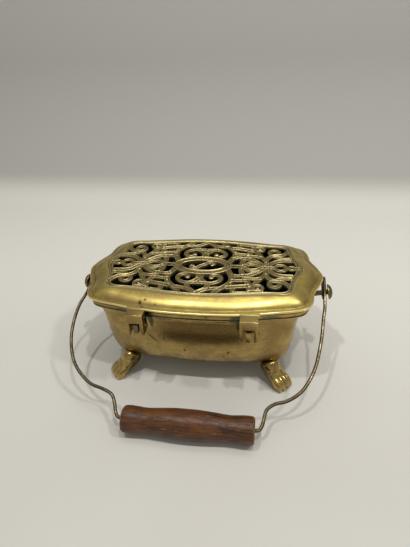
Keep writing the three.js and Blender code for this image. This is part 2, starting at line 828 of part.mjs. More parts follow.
// The eye: an open hairpin round the stud, from its free end to where the arm begins.
function eyePoints(x, back, slot) {
  const turn = [];
  for (let i = 0; i <= EYE_TURNS; i++) {
    const angle = -Math.PI / 2 - (Math.PI * i) / EYE_TURNS;
    turn.push([-back + EYE_HALF * Math.cos(angle), EYE_HALF * Math.sin(angle)]);
  }
  const near = slot - back;
  const hook = EYE_HOOK.map(([past, lift]) => [near + past, lift]);
  const straight = [
    [(near - back) / 2, EYE_HALF],
    [near + 2, EYE_HALF],
  ];
  return [...hook, [near - 1, -EYE_HALF], ...turn, ...straight].map(([reach, lift]) =>
    onBail(x, reach, lift),
  );
}
const armPoints = (side, arm) =>
  arm.map(([share, reachShare]) => {
    const fade = Math.max(0, 1 - reachShare / EYE_FADE);
    return onBail(side * share * HALF_LENGTH, reachShare * REACH, EYE_HALF * fade);
  });
const gripEnd = (side) => GRIP_MIDDLE + (side * GRIP_LENGTH) / 2;
const bailPoints = [
  ...eyePoints(-PIVOT_X, EYE_BACK.left, EYE_SLOT.left),
  ...armPoints(-1, ARM_LEFT),
  onBail(gripEnd(-1) + BORE_LEAD / 8, REACH, 0),
  onBail(gripEnd(-1) + BORE_LEAD, REACH, 0),
  onBail(GRIP_MIDDLE, REACH, 0),
  onBail(gripEnd(1) - BORE_LEAD, REACH, 0),
  onBail(gripEnd(1) - BORE_LEAD / 8, REACH, 0),
  ...armPoints(1, ARM_RIGHT).reverse(),
  ...eyePoints(PIVOT_X, EYE_BACK.right, EYE_SLOT.right).reverse(),
];
const wireSection = new THREE.Shape(
  Array.from({ length: 8 }, (_, i) => {
    const angle = (2 * Math.PI * (i + 0.5)) / 8;
    return new THREE.Vector2(WIRE_RADIUS * Math.cos(angle), WIRE_RADIUS * Math.sin(angle));
  }),
);
const bailGeometry = new THREE.ExtrudeGeometry(wireSection, {
  extrudePath: new PointwiseCurve(bailPoints, false, "centripetal"),
  steps: Math.round((bailPoints.length - 1) * 1.6),
  bevelEnabled: false,
});

// Turned grip, bored for the wire
const halfGrip = GRIP_SECTION.map(([share, r]) => [(share - 0.5) * GRIP_LENGTH, r]);
const gripOuter = [...halfGrip, ...halfGrip.slice(0, -1).reverse().map(([x, r]) => [-x, r])];
const bore = WIRE_RADIUS + GAP;
const gripProfile = [
  [-GRIP_LENGTH / 2, bore],
  ...gripOuter,
  [GRIP_LENGTH / 2, bore],
  [-GRIP_LENGTH / 2, bore],
].map(([x, r]) => new THREE.Vector2(r, x));
const gripGeometry = new THREE.LatheGeometry(gripProfile, 24);
gripGeometry.rotateZ(-Math.PI / 2);
gripGeometry.translate(GRIP_MIDDLE, gripAt.y, gripAt.z);

const group = new THREE.Group();
function put(name, geometry, material, scale = [1, 1, 1]) {
  const mesh = new THREE.Mesh(geometry, material);
  mesh.name = name;
  mesh.scale.set(...scale);
  group.add(mesh);
  return mesh;
}

put("tub", geometryOf(tub), brass(0x9a8248, 0.42));
put("hinge_lug_left", geometryOf(hingeLug(-1)), brass(0x6f6e66, 0.55));
put("hinge_lug_right", geometryOf(hingeLug(1)), brass(0xa08a4e, 0.5));
put("stud_boss_left", geometryOf(bosses.left), brass(0x6d6646, 0.5));
put("stud_boss_right", geometryOf(bosses.right), brass(0x6d6646, 0.5));
put("lid_frame", geometryOf(lidFrame), brass(0xa88c48, 0.34));
put("lid_panel", geometryOf(lidPanel), brass(0x8f7d4b, 0.48));
put("hinge_pin_left", geometryOf(hingePin(-1)), brass(0x6c6350, 0.5));
put("hinge_pin_right", geometryOf(hingePin(1)), brass(0x6c6350, 0.5));
put("ember_pan", geometryOf(pan), brass(0x3f4038, 0.7));
const corners = { front_left: [-1, 1], front_right: [1, 1], back_left: [-1, -1], back_right: [1, -1] };
for (const [name, [mx, my]] of Object.entries(corners)) {
  put("foot_" + name, foot, brass(0xa08244, 0.4), [mx, my, 1]);
  put("foot_rivet_" + name, rivet, brass(0x8a7446, 0.5)).position.set(mx * rivetX, my * rivetY, 0);
}
put("stud_left", studGeometry(-1), brass(0x6d6646, 0.5));
put("stud_right", studGeometry(1), brass(0x6d6646, 0.5));
put("bail_wire", bailGeometry, brass(0x6f6248, 0.45));
put(
  "wood_grip",
  gripGeometry,
  new THREE.MeshStandardMaterial({ color: 0x5a3320, roughness: 0.55, metalness: 0 }),
);

// The part's origin is the middle of its box's underside.
const span = new THREE.Box3().setFromObject(group);
const middle = span.getCenter(new THREE.Vector3());
group.position.set(-middle.x, -middle.y, -span.min.z);

export default group;
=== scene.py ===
import json
import math

import bmesh
import bpy
import numpy as np
from mathutils import Matrix, Vector


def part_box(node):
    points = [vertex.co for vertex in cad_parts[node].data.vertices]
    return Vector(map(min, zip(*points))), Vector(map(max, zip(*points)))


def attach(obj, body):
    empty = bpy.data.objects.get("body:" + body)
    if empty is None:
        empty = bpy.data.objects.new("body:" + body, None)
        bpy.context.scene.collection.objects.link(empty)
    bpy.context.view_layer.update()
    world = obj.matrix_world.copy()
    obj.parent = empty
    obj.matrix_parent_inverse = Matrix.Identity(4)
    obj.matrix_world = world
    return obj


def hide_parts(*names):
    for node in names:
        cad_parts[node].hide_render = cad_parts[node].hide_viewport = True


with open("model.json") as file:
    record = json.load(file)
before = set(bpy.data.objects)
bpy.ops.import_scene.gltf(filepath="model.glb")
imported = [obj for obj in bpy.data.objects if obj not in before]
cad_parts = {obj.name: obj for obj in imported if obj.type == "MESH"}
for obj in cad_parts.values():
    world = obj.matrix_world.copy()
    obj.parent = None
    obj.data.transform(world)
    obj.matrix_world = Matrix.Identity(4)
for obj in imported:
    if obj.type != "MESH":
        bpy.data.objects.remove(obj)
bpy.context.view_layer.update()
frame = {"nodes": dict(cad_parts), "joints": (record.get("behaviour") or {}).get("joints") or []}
mm = 0.001

# The body's middle is the tub's, in metres like the boxes and the joints' places. The half sizes,
# which are the lid's, and the tub's two heights are in mm.
tubLow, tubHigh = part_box("tub")
lidLow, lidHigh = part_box("lid_frame")
middle = np.array([(tubLow.x + tubHigh.x) / 2, (tubLow.y + tubHigh.y) / 2, 0])
halfLength = (lidHigh.x - lidLow.x) / 2 / mm
halfDepth = (lidHigh.y - middle[1]) / mm
tubBottom = tubLow.z / mm
rimTop = tubHigh.z / mm
jointPlaces = {joint["name"]: joint["pos_m"] for joint in frame["joints"]}
hingePlace, swingPlace = jointPlaces["lid_hinge"], jointPlaces["bail_swing"]
hands = {-1: "left", 1: "right"}


def inFrame(points):
    # from mm round the body's middle to metres in the frame
    return np.asarray(points, float) * mm + middle


def sided(name, side):
    return name + hands[side].title()


# Helpers for meshes
def smoothLine(points, perSpan, closed=False):
    # a smooth line through all the points (centripetal Catmull-Rom)
    pts = np.asarray(points, float)
    n = len(pts)
    out = []
    for i in range(n if closed else n - 1):
        p1, p2 = pts[i], pts[(i + 1) % n]
        p0 = pts[i - 1] if closed or i > 0 else 2 * p1 - p2
        p3 = pts[(i + 2) % n] if closed or i + 2 < n else 2 * p2 - p1
        spans = ((p0, p1), (p1, p2), (p2, p3))
        d0, d1, d2 = (max(np.sum((b - a) ** 2) ** 0.25, 1e-4) for a, b in spans)
        t1 = ((p1 - p0) / d0 - (p2 - p0) / (d0 + d1) + (p2 - p1) / d1) * d1
        t2 = ((p2 - p1) / d1 - (p3 - p1) / (d1 + d2) + (p3 - p2) / d2) * d1
        square, cube = 3 * (p2 - p1) - 2 * t1 - t2, 2 * (p1 - p2) + t1 + t2
        for k in range(perSpan):
            t = k / perSpan
            out.append(p1 + t1 * t + square * t * t + cube * t**3)
    if not closed:
        out.append(pts[-1])
    return np.array(out)


def linkedObject(name, data):
    obj = bpy.data.objects.new(name, data)
    bpy.context.scene.collection.objects.link(obj)
    return obj


def newObject(name, points, edges, faces):
    mesh = bpy.data.meshes.new(name)
    mesh.from_pydata([tuple(p) for p in points], edges, faces)
    return linkedObject(name, mesh)


def workObject(name, work):
    # the object that a finished bmesh becomes
    mesh = bpy.data.meshes.new(name)
    work.to_mesh(mesh)
    work.free()
    return linkedObject(name, mesh)


def faceOutwards(mesh):
    work = bmesh.new()
    work.from_mesh(mesh)
    bmesh.ops.recalc_face_normals(work, faces=work.faces)
    work.to_mesh(mesh)
    work.free()


allSmooth = 180


def shadeByAngle(mesh, angle):
    mesh.polygons.foreach_set("use_smooth", [True] * len(mesh.polygons))
    mesh.set_sharp_from_angle(angle=math.radians(angle))
    mesh.update()


def loft(name, rings, loop=False, sharpAngle=35):
    # a skin over rings of equal length: a loop of them, or closed by a face on the first and last
    n, count = len(rings[0]), len(rings)
    faces = []
    for r in range(count if loop else count - 1):
        a, b = r * n, (r + 1) % count * n
        faces += [(a + i, a + (i + 1) % n, b + (i + 1) % n, b + i) for i in range(n)]
    if not loop:
        faces += [tuple(reversed(range(n))), tuple(range((count - 1) * n, count * n))]
    obj = newObject(name, np.concatenate(rings), [], faces)
    obj.data.validate()
    faceOutwards(obj.data)
    shadeByAngle(obj.data, sharpAngle)
    return obj


def lathe(name, profile, place, along, sides, sharpAngle=35, loop=False):
    # profile: (way along the axis, radius) in mm; place in mm; a loop is open through its middle
    turn = Vector(along).normalized().to_track_quat("Z", "Y").to_matrix()
    rings = []
    for way, radius in profile:
        ring = []
        for i in range(sides):
            angle = 2 * math.pi * i / sides
            local = Vector((radius * math.cos(angle), radius * math.sin(angle), way))
            ring.append(np.array(turn @ local) + place)
        rings.append(inFrame(ring))
    return loft(name, rings, loop, sharpAngle)


def boxMesh(name, low, high):
    work = bmesh.new()
    bmesh.ops.create_cube(work, size=1)
    low, high = np.array(low, float), np.array(high, float)
    for vertex in work.verts:
        vertex.co = Vector(inFrame((low + high) / 2 + np.array(vertex.co) * (high - low)))
    return workObject(name, work)


def polylineObject(name, lines, closedFlags):
    points, edges = [], []
    for line, closed in zip(lines, closedFlags):
        start = len(points)
        points += list(line)
        edges += [(start + i, start + i + 1) for i in range(len(line) - 1)]
        if closed:
            edges.append((start + len(line) - 1, start))
    return newObject(name, points, edges, [])


def joinObjects(name, objects):
    work = bmesh.new()
    for obj in objects:
        work.from_mesh(obj.data)
    joined = workObject(name, work)
    for obj in objects:
        bpy.data.objects.remove(obj)
    return joined


def applyModifiers(obj):
    # gives the object the mesh that its modifiers make, and removes them
    bpy.context.view_layer.update()
    graph = bpy.context.evaluated_depsgraph_get()
    mesh = bpy.data.meshes.new_from_object(obj.evaluated_get(graph))
    obj.modifiers.clear()
    obj.data = mesh


def cutAway(obj, cutters):
    for cutter in cutters:
        change = obj.modifiers.new("cut", "BOOLEAN")
        change.operation, change.object, change.solver = "DIFFERENCE", cutter, "EXACT"
    applyModifiers(obj)
    for cutter in cutters:
        bpy.data.objects.remove(cutter)


def bevelEdges(obj, widthMm, segments=2, angle=30):
    change = obj.modifiers.new("bevel", "BEVEL")
    change.width, change.segments, change.limit_method = widthMm * mm, segments, "ANGLE"
    change.angle_limit = math.radians(angle)
    applyModifiers(obj)
    shadeByAngle(obj.data, angle)


# Gains for rubbed edges, lit up as wear and as painted highlight, and the edge of each band of painted
# shade
hollowValues = {"wornAndSheenGain": 1.6, "wornAndSheenFrom": 0.15, "shadeBandEdge": 1.5}


def markHollows(obj, gain, spread, base=0.0, shadeBands=()):
    # writes two values: one up to 1 where the surface is hollow (dirt) or in a band of painted shade,
    # and one up to 1 on edges (rubbed wear plus painted highlight); spread: how many times the values
    # are evened out; bands: (height, half width, strength) in mm
    mesh = obj.data
    count = len(mesh.vertices)
    co, no = np.empty(count * 3), np.empty(count * 3)
    mesh.vertices.foreach_get("co", co)
    mesh.vertices.foreach_get("normal", no)
    co, no = co.reshape(-1, 3), no.reshape(-1, 3)
    pairs = np.empty(len(mesh.edges) * 2, int)
    mesh.edges.foreach_get("vertices", pairs)
    a, b = pairs.reshape(-1, 2).T
    way = co[b] - co[a]
    length = np.linalg.norm(way, axis=1, keepdims=True) + 1e-9
    way /= length
    hollow = np.zeros(count)
    degree = np.zeros(count) + 1e-9
    np.add.at(hollow, a, np.sum(no[a] * way, axis=1))
    np.add.at(hollow, b, -np.sum(no[b] * way, axis=1))
    np.add.at(degree, a, 1)
    np.add.at(degree, b, 1)
    hollow /= degree
    for step in range(spread):
        total = hollow.copy()
        np.add.at(total, a, hollow[b])
        np.add.at(total, b, hollow[a])
        hollow = total / (degree + 1)
    grimeAndShade = np.clip(hollow * gain + base, 0, 1)
    # bands of painted shade at the given heights, under the overhangs
    for height, half, strength in shadeBands:
        near = np.clip(hollowValues["shadeBandEdge"] - np.abs(co[:, 2] / mm - height) / half, 0, 1)
        grimeAndShade = np.maximum(grimeAndShade, near * strength)
    # convex edges: rubbed wear, lit up further as a painted highlight
    worn = np.clip(-hollow * gain * hollowValues["wornAndSheenGain"] - hollowValues["wornAndSheenFrom"], 0, 1)
    for name, value in (("grimeAndShade", grimeAndShade), ("worn", worn)):
        attribute = mesh.attributes.new(name, "FLOAT", "POINT")
        attribute.data.foreach_set("value", value.astype(np.float32))


def dress(obj, material):
    obj.data.materials.clear()
    obj.data.materials.append(material)


def finishPiece(obj, material, body, slot, *nodes):
    dress(obj, material)
    if nodes:
        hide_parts(*nodes)
    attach(obj, body)


# Helpers for materials
def linear(hexColour):
    parts = [int(hexColour[i : i + 2], 16) / 255 for i in (1, 3, 5)]
    return tuple(c / 12.92 if c <= 0.04045 else ((c + 0.055) / 1.055) ** 2.4 for c in parts) + (1,)


def fillSockets(tree, node, **links):
    # links: socket name or number (as sN) to a value or an output
    for key, value in links.items():
        number = key[1:].isdigit()
        socket = node.inputs[int(key[1:])] if number else node.inputs[key.replace("_", " ")]
        if isinstance(value, bpy.types.NodeSocket):
            tree.links.new(value, socket)
        else:
            socket.default_value = value


def addNode(tree, kind, settings=None, **links):
    # settings: node properties; links: as in fillSockets
    node = tree.nodes.new(kind)
    for key, value in (settings or {}).items():
        setattr(node, key, value)
    fillSockets(tree, node, **links)
    return node


blend = {"data_type": "RGBA"}
smooth = {"interpolation_type": "SMOOTHSTEP"}
add, subtract = {"operation": "ADD"}, {"operation": "SUBTRACT"}
multiply, measure = {"operation": "MULTIPLY"}, {"operation": "LENGTH"}
aroundY = {"rotation_type": "Y_AXIS"}


def newMaterial(name):
    material = bpy.data.materials.new(name)
    material.use_nodes = True
    tree = material.node_tree
    tree.nodes.clear()
    shader = addNode(tree, "ShaderNodeBsdfPrincipled")
    addNode(tree, "ShaderNodeOutputMaterial", s0=shader.outputs[0])
    return material, tree, shader


def noisePatterns(tree, coords, table):
    # table: name to (size in mm, detail, roughness, distortion, stretch along each axis)
    patterns = {}
    for name, (size, detail, roughness, twist, stretch) in table.items():
        scale = tuple(1 / (size * mm * s) for s in stretch)
        place = addNode(tree, "ShaderNodeMapping", Vector=coords, Scale=scale).outputs[0]
        values = {"Scale": 1.0, "Detail": detail, "Roughness": roughness, "Distortion": twist}
        patterns[name] = addNode(tree, "ShaderNodeTexNoise", Vector=place, **values).outputs[0]
    return patterns


def layered(tree, colour, layers):
    # each layer: pattern, where it starts, where it is full, strength, colour
    for pattern, low, high, strength, tint in layers:
        mask = addNode(tree, "ShaderNodeMapRange", smooth, s0=pattern, s1=low, s2=high, s4=strength)
        mixed = addNode(tree, "ShaderNodeMix", blend, s0=mask.outputs[0], s6=colour, s7=linear(tint))
        colour = mixed.outputs[2]
    return colour


def weighted(tree, terms):
    # the sum of patterns, each times its weight
    total = 0.0
    for pattern, weight in terms:
        part = addNode(tree, "ShaderNodeMath", multiply, s0=pattern, s1=weight)
        total = addNode(tree, "ShaderNodeMath", add, s0=part.outputs[0], s1=total).outputs[0]
    return total


# Shared by all the metals. Pairs and triples: where a pattern starts, where it is full, strength.
metalValues = {
    "tarnishMix": (0.62, 0.38), "tarnishSpan": 0.22, "patina": (0.55, 0.75), "fleck": (0.62, 0.74),
    "wipe": (0.45, 0.75), "worn": (0.1, 0.7), "film": (0.06, 0.45, 0.75), "dirtAndShade": (0.35, 0.95, 0.9),
    "dirtBreaks": 0.9, "dirtEven": 0.55, "markEdge": (-1.65, -1.1), "dull": (0.3, 0.7),
    "dirtDull": 0.22, "wipeDull": 0.08, "pit": (0.66, 0.78), "relief": (0.5, 0.3, -0.5),
    "reliefMm": 0.15,
}


def oldBrass(name, look):
    # Old wiped brass: a yellow metal under uneven brown tarnish, which gives it an olive cast, with
    # dirt left in the hollows, painted shade in the given bands and marks, rubbed edges painted
    # lighter as wear and as highlight, and fine wiping scratches that widen the highlights. Iron has
    # the same layers in greyer browns and is rougher, so it stays dull beside the brass.
    v = metalValues
    bright, olive, brown, soilAndShade, rubbed, patina = look["colours"].split()
    cloudMm, mottleMm, fleckMm = look["sizesMm"]
    patinaShare, flecks, wiping, edges = look["shares"]
    material, tree, shader = newMaterial(name)
    coords = addNode(tree, "ShaderNodeTexCoord").outputs["Object"]
    even = (1, 1, 1)
    noise = noisePatterns(tree, coords, {
        "cloud": (cloudMm, 4, 0.6, 0.6, even),
        "mottle": (mottleMm, 6, 0.62, 0.3, even),
        "fleck": (fleckMm, 3, 0.6, 0, even),
        "wipe": (1.1, 3, 0.6, 0.2, look["wipe"]),
        "ragged": (1.2, 3, 0.7, 0, even),
    })
    grimeAndShade = addNode(tree, "ShaderNodeAttribute", {"attribute_name": "grimeAndShade"}).outputs["Fac"]
    worn = addNode(tree, "ShaderNodeAttribute", {"attribute_name": "worn"}).outputs["Fac"]
    tarnish = weighted(tree, zip((noise["cloud"], noise["mottle"]), v["tarnishMix"]))
    broken = weighted(tree, [(noise["mottle"], v["dirtBreaks"]), (v["dirtEven"], 1.0)])
    # dirt in the hollows, and the bands of painted shade
    dirtAndShade = weighted(tree, [(grimeAndShade, broken)])
    start = look["tarnishFrom"]
    colour = layered(tree, linear(bright), [
        (tarnish, start, start + v["tarnishSpan"], 1.0, olive),
        (noise["cloud"], *v["patina"], patinaShare, patina),
        (noise["fleck"], *v["fleck"], flecks, brown),
        (noise["wipe"], *v["wipe"], wiping, brown),
        # rubbed edges: wear, lit up further as a painted highlight
        (worn, *v["worn"], edges, rubbed),
        (dirtAndShade, *v["film"], brown),
        (dirtAndShade, *v["dirtAndShade"], soilAndShade),
    ])
    for at, half, turn, strength, tint in look.get("marks", []):
        # one scratch, pit, stain, patch of painted shadow or painted reflection: a ragged ellipse
        # round a place in the frame
        turn, size = math.radians(turn), tuple(1 / (h * mm) for h in half)
        moved = addNode(tree, "ShaderNodeVectorMath", subtract, s0=coords, s1=tuple(inFrame(at)))
        turned = addNode(tree, "ShaderNodeVectorRotate", aroundY, Vector=moved.outputs[0], Angle=turn)
        scaled = addNode(tree, "ShaderNodeVectorMath", multiply, s0=turned.outputs[0], s1=size)
        reach = addNode(tree, "ShaderNodeVectorMath", measure, s0=scaled.outputs[0])
        edge = weighted(tree, [(reach.outputs[1], -1.0), (noise["ragged"], -1.0)])
        colour = layered(tree, colour, [(edge, *v["markEdge"], strength, tint)])
    low, high = look["roughness"]
    start, full = v["dull"]
    rough = addNode(tree, "ShaderNodeMapRange", smooth, s0=tarnish, s1=start, s2=full, s3=low, s4=high)
    dulls = (1.0, v["dirtDull"], v["wipeDull"])
    rough = weighted(tree, zip((rough.outputs[0], dirtAndShade, noise["wipe"]), dulls))
    start, full = v["pit"]
    pit = addNode(tree, "ShaderNodeMapRange", smooth, s0=noise["fleck"], s1=start, s2=full)
    height = weighted(tree, zip((noise["mottle"], noise["wipe"], pit.outputs[0]), v["relief"]))
    bump = addNode(tree, "ShaderNodeBump", s0=look["bump"], s1=v["reliefMm"] * mm, s3=height)
    fillSockets(tree, shader, Base_Color=colour, Roughness=rough, Normal=bump.outputs[0], Metallic=1)
    return material


verdigris = "#4a524a"
# Marks: middle and half sizes in mm, turn round Y in degrees, strength and colour
tubMarks = [
    ((-37, -55, 50), (0.8, 9, 8.6), 43, 0.8, "#2c210e"),
    ((-16.6, -54, 31.5), (5, 9, 0.5), -28, 0.8, "#2c2110"),
    ((-9.6, -56, 39.3), (0.9, 9, 2.2), 25, 0.85, "#2c1f0e"),
    ((-30.4, -56, 53.5), (1.1, 9, 0.8), 0, 0.7, "#3a2b12"),
    ((-27.3, -56, 50.5), (0.8, 9, 1), 0, 0.7, "#3a2b12"),
    ((23.7, -54, 32.7), (0.7, 9, 2), 25, 0.75, "#33270f"),
    ((27.9, -55, 38.4), (0.9, 9, 2.3), -25, 0.85, "#2c1f0e"),
    # painted shadow on the wall inboard of each hinge fork
    ((-36.4, -57, 70), (2.4, 9, 9), 0, 0.85, "#3a3d33"),
    ((36.6, -57, 70), (1.9, 9, 9), 0, 0.85, "#3a3d33"),
    ((-45.6, -70, 74), (10, 6, 14), 0, 0.45, "#7a6335"),
    ((45.6, -70, 74), (10, 6, 14), 0, 0.45, "#7a6335"),
    # painted reflection: a broad dark patch on the front wall
    ((6, -56, 57), (46, 12, 11), 0, 0.4, "#564119"),
    ((-4.4, -60, 77), (1.7, 6, 0.8), 0, 0.7, "#3a2b12"),
    ((10.8, -60, 79), (1.5, 6, 0.7), 0, 0.7, "#3a2b12"),
    ((-38, -58, 75.5), (4.5, 9, 7), 0, 0.85, verdigris),
    ((-26, -58, 74), (10, 9, 2.4), 0, 0.75, verdigris),
    ((34, -58, 76), (5, 9, 5.5), 0, 0.85, verdigris),
    ((23, -58, 74), (9, 9, 1.8), 0, 0.65, verdigris),
    ((62, -56, 78), (8, 12, 2.2), 0, 0.7, verdigris),
    # painted shadow in the notch above the right lug
    ((45.6, -68.4, 75.4), (3.6, 1.7, 3), 0, 0.95, "#1c150a"),
    ((-59, -56, 78), (8, 12, 2.2), 0, 0.7, verdigris),
]
lidMarks = [
    ((-44, -54.8, 87), (1.4, 1.8, 3), 0, 0.85, "#3a2a10"),
    ((-40, -53, 88.7), (1.1, 1.3, 3), 0, 0.8, "#3a2a10"),
    ((-42, -57.5, 85), (0.9, 0.9, 3), 0, 0.7, "#3a2a10"),
    ((-31, -56.8, 87), (0.9, 0.8, 3), 0, 0.6, "#4a3818"),
    ((72, -40.5, 87), (2.2, 1.6, 2.5), 0, 0.5, "#4a3818"),
]
# Each foot: painted shade on its ankle under the tub's floor, which also dims its highlight, and
# painted shade on its inner side and between it and the floor
footMarks = []
for sx in (-1, 1):
    for sy in (-1, 1):
        footMarks += [
            ((sx * 62, sy * 40, 20.5), (11, 11, 2.2), 0, 0.6, "#4b3a1a"),
            ((sx * 58, sy * 48, 9), (7.5, 7.5, 13), 0, 0.85, "#3b2f12"),
            ((sx * 62, sy * 56, 5), (5, 5, 10), 0, 0.7, "#3b2f12"),
        ]
# Colours: bright, olive, brown, dirt (also the painted shade), rubbed (also a painted highlight),
# patina.
# Sizes: cloud, mottle, fleck. Shares: patina, flecks, wiping, rubbed edges with painted highlight.
# Wipe: how far the wiping scratches are stretched along each axis.
brassLooks = {
    # the tub's brass is darker than the lid's: partly dirt, partly painted shade on its walls
    "tub": {
        "colours": "#bba162 #9a8353 #5c4625 #241c0f #d2ba78 #7d673b", "sizesMm": (34, 7, 1.6),
        "shares": (0.6, 0.3, 0.16, 0.5), "tarnishFrom": 0.36, "wipe": (14, 14, 0.9),
        "roughness": (0.19, 0.28), "bump": 0.07, "marks": tubMarks,
    },
    "lid": {
        "colours": "#cfb968 #b09a5c #664e2b #2c2211 #f2e09c #927548", "sizesMm": (30, 6, 1.4),
        "shares": (0.7, 0.35, 0.18, 0.9), "tarnishFrom": 0.38, "wipe": (16, 2, 2),
        "roughness": (0.25, 0.36), "bump": 0.09, "marks": lidMarks,
    },
    "panel": {
        "colours": "#ae9c68 #8b7c50 #6b5531 #2a2213 #ddd2a4 #74765a", "sizesMm": (16, 3, 0.9),
        "shares": (0.7, 0.4, 0.2, 0.55), "tarnishFrom": 0.34, "wipe": (8, 8, 8),
        "roughness": (0.28, 0.44), "bump": 0.16,
    },
    "foot": {
        "colours": "#bba163 #927c4b #544122 #1f180c #e2cc8b #77623a", "sizesMm": (14, 5, 0.9),
        "shares": (0.4, 0.2, 0.12, 0.55), "tarnishFrom": 0.46, "wipe": (5, 5, 9),
        "roughness": (0.15, 0.23), "bump": 0.06, "marks": footMarks,
    },
    "pan": {
        "colours": "#4b4a3a #2c322a #241d14 #0e0d0a #5a5644 #2e4238", "sizesMm": (24, 4, 1.2),
        "shares": (0.6, 0.7, 0.4, 0.3), "tarnishFrom": 0.36, "wipe": (8, 8, 2),
        "roughness": (0.42, 0.6), "bump": 0.4,
    },
    "dark": {
        "colours": "#8f7e4e #645a3a #3d311d #1c160d #a89564 #474c40", "sizesMm": (9, 2.4, 0.8),
        "shares": (0.6, 0.5, 0.4, 0.5), "tarnishFrom": 0.34, "wipe": (3, 3, 3),
        "roughness": (0.26, 0.42), "bump": 0.25,
    },
    "iron": {
        "colours": "#5b5140 #443b2c #33291b #1a1712 #8f866f #4d4c42", "sizesMm": (4, 1.6, 0.6),
        "shares": (0.4, 0.6, 0.4, 0.6), "tarnishFrom": 0.4, "wipe": (1, 1, 4),
        "roughness": (0.35, 0.5), "bump": 0.4,
    },
    "wire": {
        "colours": "#7c6f55 #534935 #372d1f #241b11 #9a8c6e #66665a", "sizesMm": (16, 3, 0.8),
        "shares": (0.5, 0.5, 0.4, 0.3), "tarnishFrom": 0.36, "wipe": (3, 3, 3),
        "roughness": (0.2, 0.32), "bump": 0.15,
    },
}
tubMetal = oldBrass("raisedTubBrass", brassLooks["tub"])
lidMetal = oldBrass("handledLidBrass", brassLooks["lid"])
panelMetal = oldBrass("chasedPanelBrass", brassLooks["panel"])
footMetal = oldBrass("castFootBrass", brassLooks["foot"])
panMetal = oldBrass("sootedPanBrass", brassLooks["pan"])
darkMetal = oldBrass("tarnishedStudBrass", brassLooks["dark"])
ironMetal = oldBrass("filedIron", brassLooks["iron"])
wireMetal = oldBrass("drawnWireBrass", brassLooks["wire"])

woodLook = {
    "dark": "#2a1505", "stain": "#583210", "warm": "#6e3f10", "pore": "#180b03", "bare": "#b08d5c",
    "streakMm": 1.5, "poreMm": 0.55, "grainLength": 16, "roughness": (0.34, 0.58),
    "wearAndSheenMix": (0.8, 1.7, -0.95), "scuffDull": (0.35, 0.7), "poreEdge": (0.54, 0.68),
    "relief": (0.6, -0.8), "bump": 0.8, "reliefMm": 0.25, "coat": 0.12, "coatRoughness": 0.3,
    "specular": 0.35,
}


def turnedWood(name, look):
    # Stained and waxed hardwood: long dark pores along the grip, rubbed paler at its ends, with a
    # painted highlight along its top and a broken satin shine.
    material, tree, shader = newMaterial(name)
    coords = addNode(tree, "ShaderNodeTexCoord").outputs["Object"]
    along = (look["grainLength"], 1, 1)
    noise = noisePatterns(tree, coords, {
        "streak": (look["streakMm"], 5, 0.65, 0.4, along),
        "pore": (look["poreMm"], 4, 0.7, 0.1, along),
        "cloud": (18, 4, 0.6, 0.5, (1.6, 1, 1)),
        "scuff": (2.2, 4, 0.7, 0.4, (5, 1, 1)),
        "scratch": (0.7, 2, 0.6, 0.8, (1, 6, 6)),
    })
    wearAndSheen = addNode(tree, "ShaderNodeAttribute", {"attribute_name": "wearAndSheen"}).outputs["Fac"]
    # rubbed paler at the ends, a painted highlight along the top, and random scuffs
    wearAndSheenShare, scuffShare, least = look["wearAndSheenMix"]
    rubbed = weighted(tree, [(wearAndSheen, wearAndSheenShare), (noise["scuff"], scuffShare), (least, 1.0)])
    colour = layered(tree, linear(look["dark"]), [
        (noise["streak"], 0.36, 0.64, 1.0, look["stain"]),
        (noise["cloud"], 0.4, 0.72, 0.7, look["warm"]),
        (noise["pore"], 0.56, 0.7, 0.8, look["pore"]),
        (rubbed, 0.6, 1.1, 0.6, look["bare"]),
        (noise["scuff"], 0.6, 0.76, 0.55, look["bare"]),
        (noise["scratch"], 0.7, 0.8, 0.5, look["bare"]),
    ])
    low, high = look["roughness"]
    start, full = look["scuffDull"]
    rough = addNode(
        tree, "ShaderNodeMapRange", smooth, s0=noise["scuff"], s1=start, s2=full, s3=low, s4=high,
    )
    start, full = look["poreEdge"]
    pore = addNode(tree, "ShaderNodeMapRange", smooth, s0=noise["pore"], s1=start, s2=full)
    height = weighted(tree, zip((noise["streak"], pore.outputs[0]), look["relief"]))
    bump = addNode(tree, "ShaderNodeBump", s0=look["bump"], s1=look["reliefMm"] * mm, s3=height)
    fillSockets(tree, shader, Base_Color=colour, Roughness=rough.outputs[0], Normal=bump.outputs[0])
    fillSockets(tree, shader, Coat_Weight=look["coat"], Coat_Roughness=look["coatRoughness"])
    fillSockets(tree, shader, Specular_IOR_Level=look["specular"])
    return material


gripWood = turnedWood("stainedTurnedHardwood", woodLook)
print("materials made")

# Outlines shared by the tub and the lid: shares of the half sizes, one quarter
rimLine = [
    (1, 0), (0.967, 0.205), (0.911, 0.425), (0.905, 0.535), (0.888, 0.661), (0.846, 0.764),
    (0.748, 0.835), (0.613, 0.885), (0.426, 0.952), (0.234, 0.989), (0, 1),
]
baseLine = [
    (0.748, 0), (0.738, 0.142), (0.71, 0.299), (0.707, 0.394), (0.701, 0.504), (0.673, 0.602),
    (0.607, 0.658), (0.514, 0.687), (0.374, 0.718), (0.196, 0.746), (0, 0.756),
]
seamLine = [
    (0.832, 0), (0.817, 0.126), (0.778, 0.252), (0.757, 0.362), (0.748, 0.488), (0.732, 0.592),
    (0.687, 0.646), (0.561, 0.657), (0.383, 0.688), (0.187, 0.734), (0, 0.751),
]
piercedLine = [
    (0.779, 0), (0.768, 0.118), (0.742, 0.228), (0.727, 0.339), (0.716, 0.457), (0.699, 0.548),
    (0.66, 0.589), (0.542, 0.603), (0.374, 0.643), (0.187, 0.685), (0, 0.702),
]


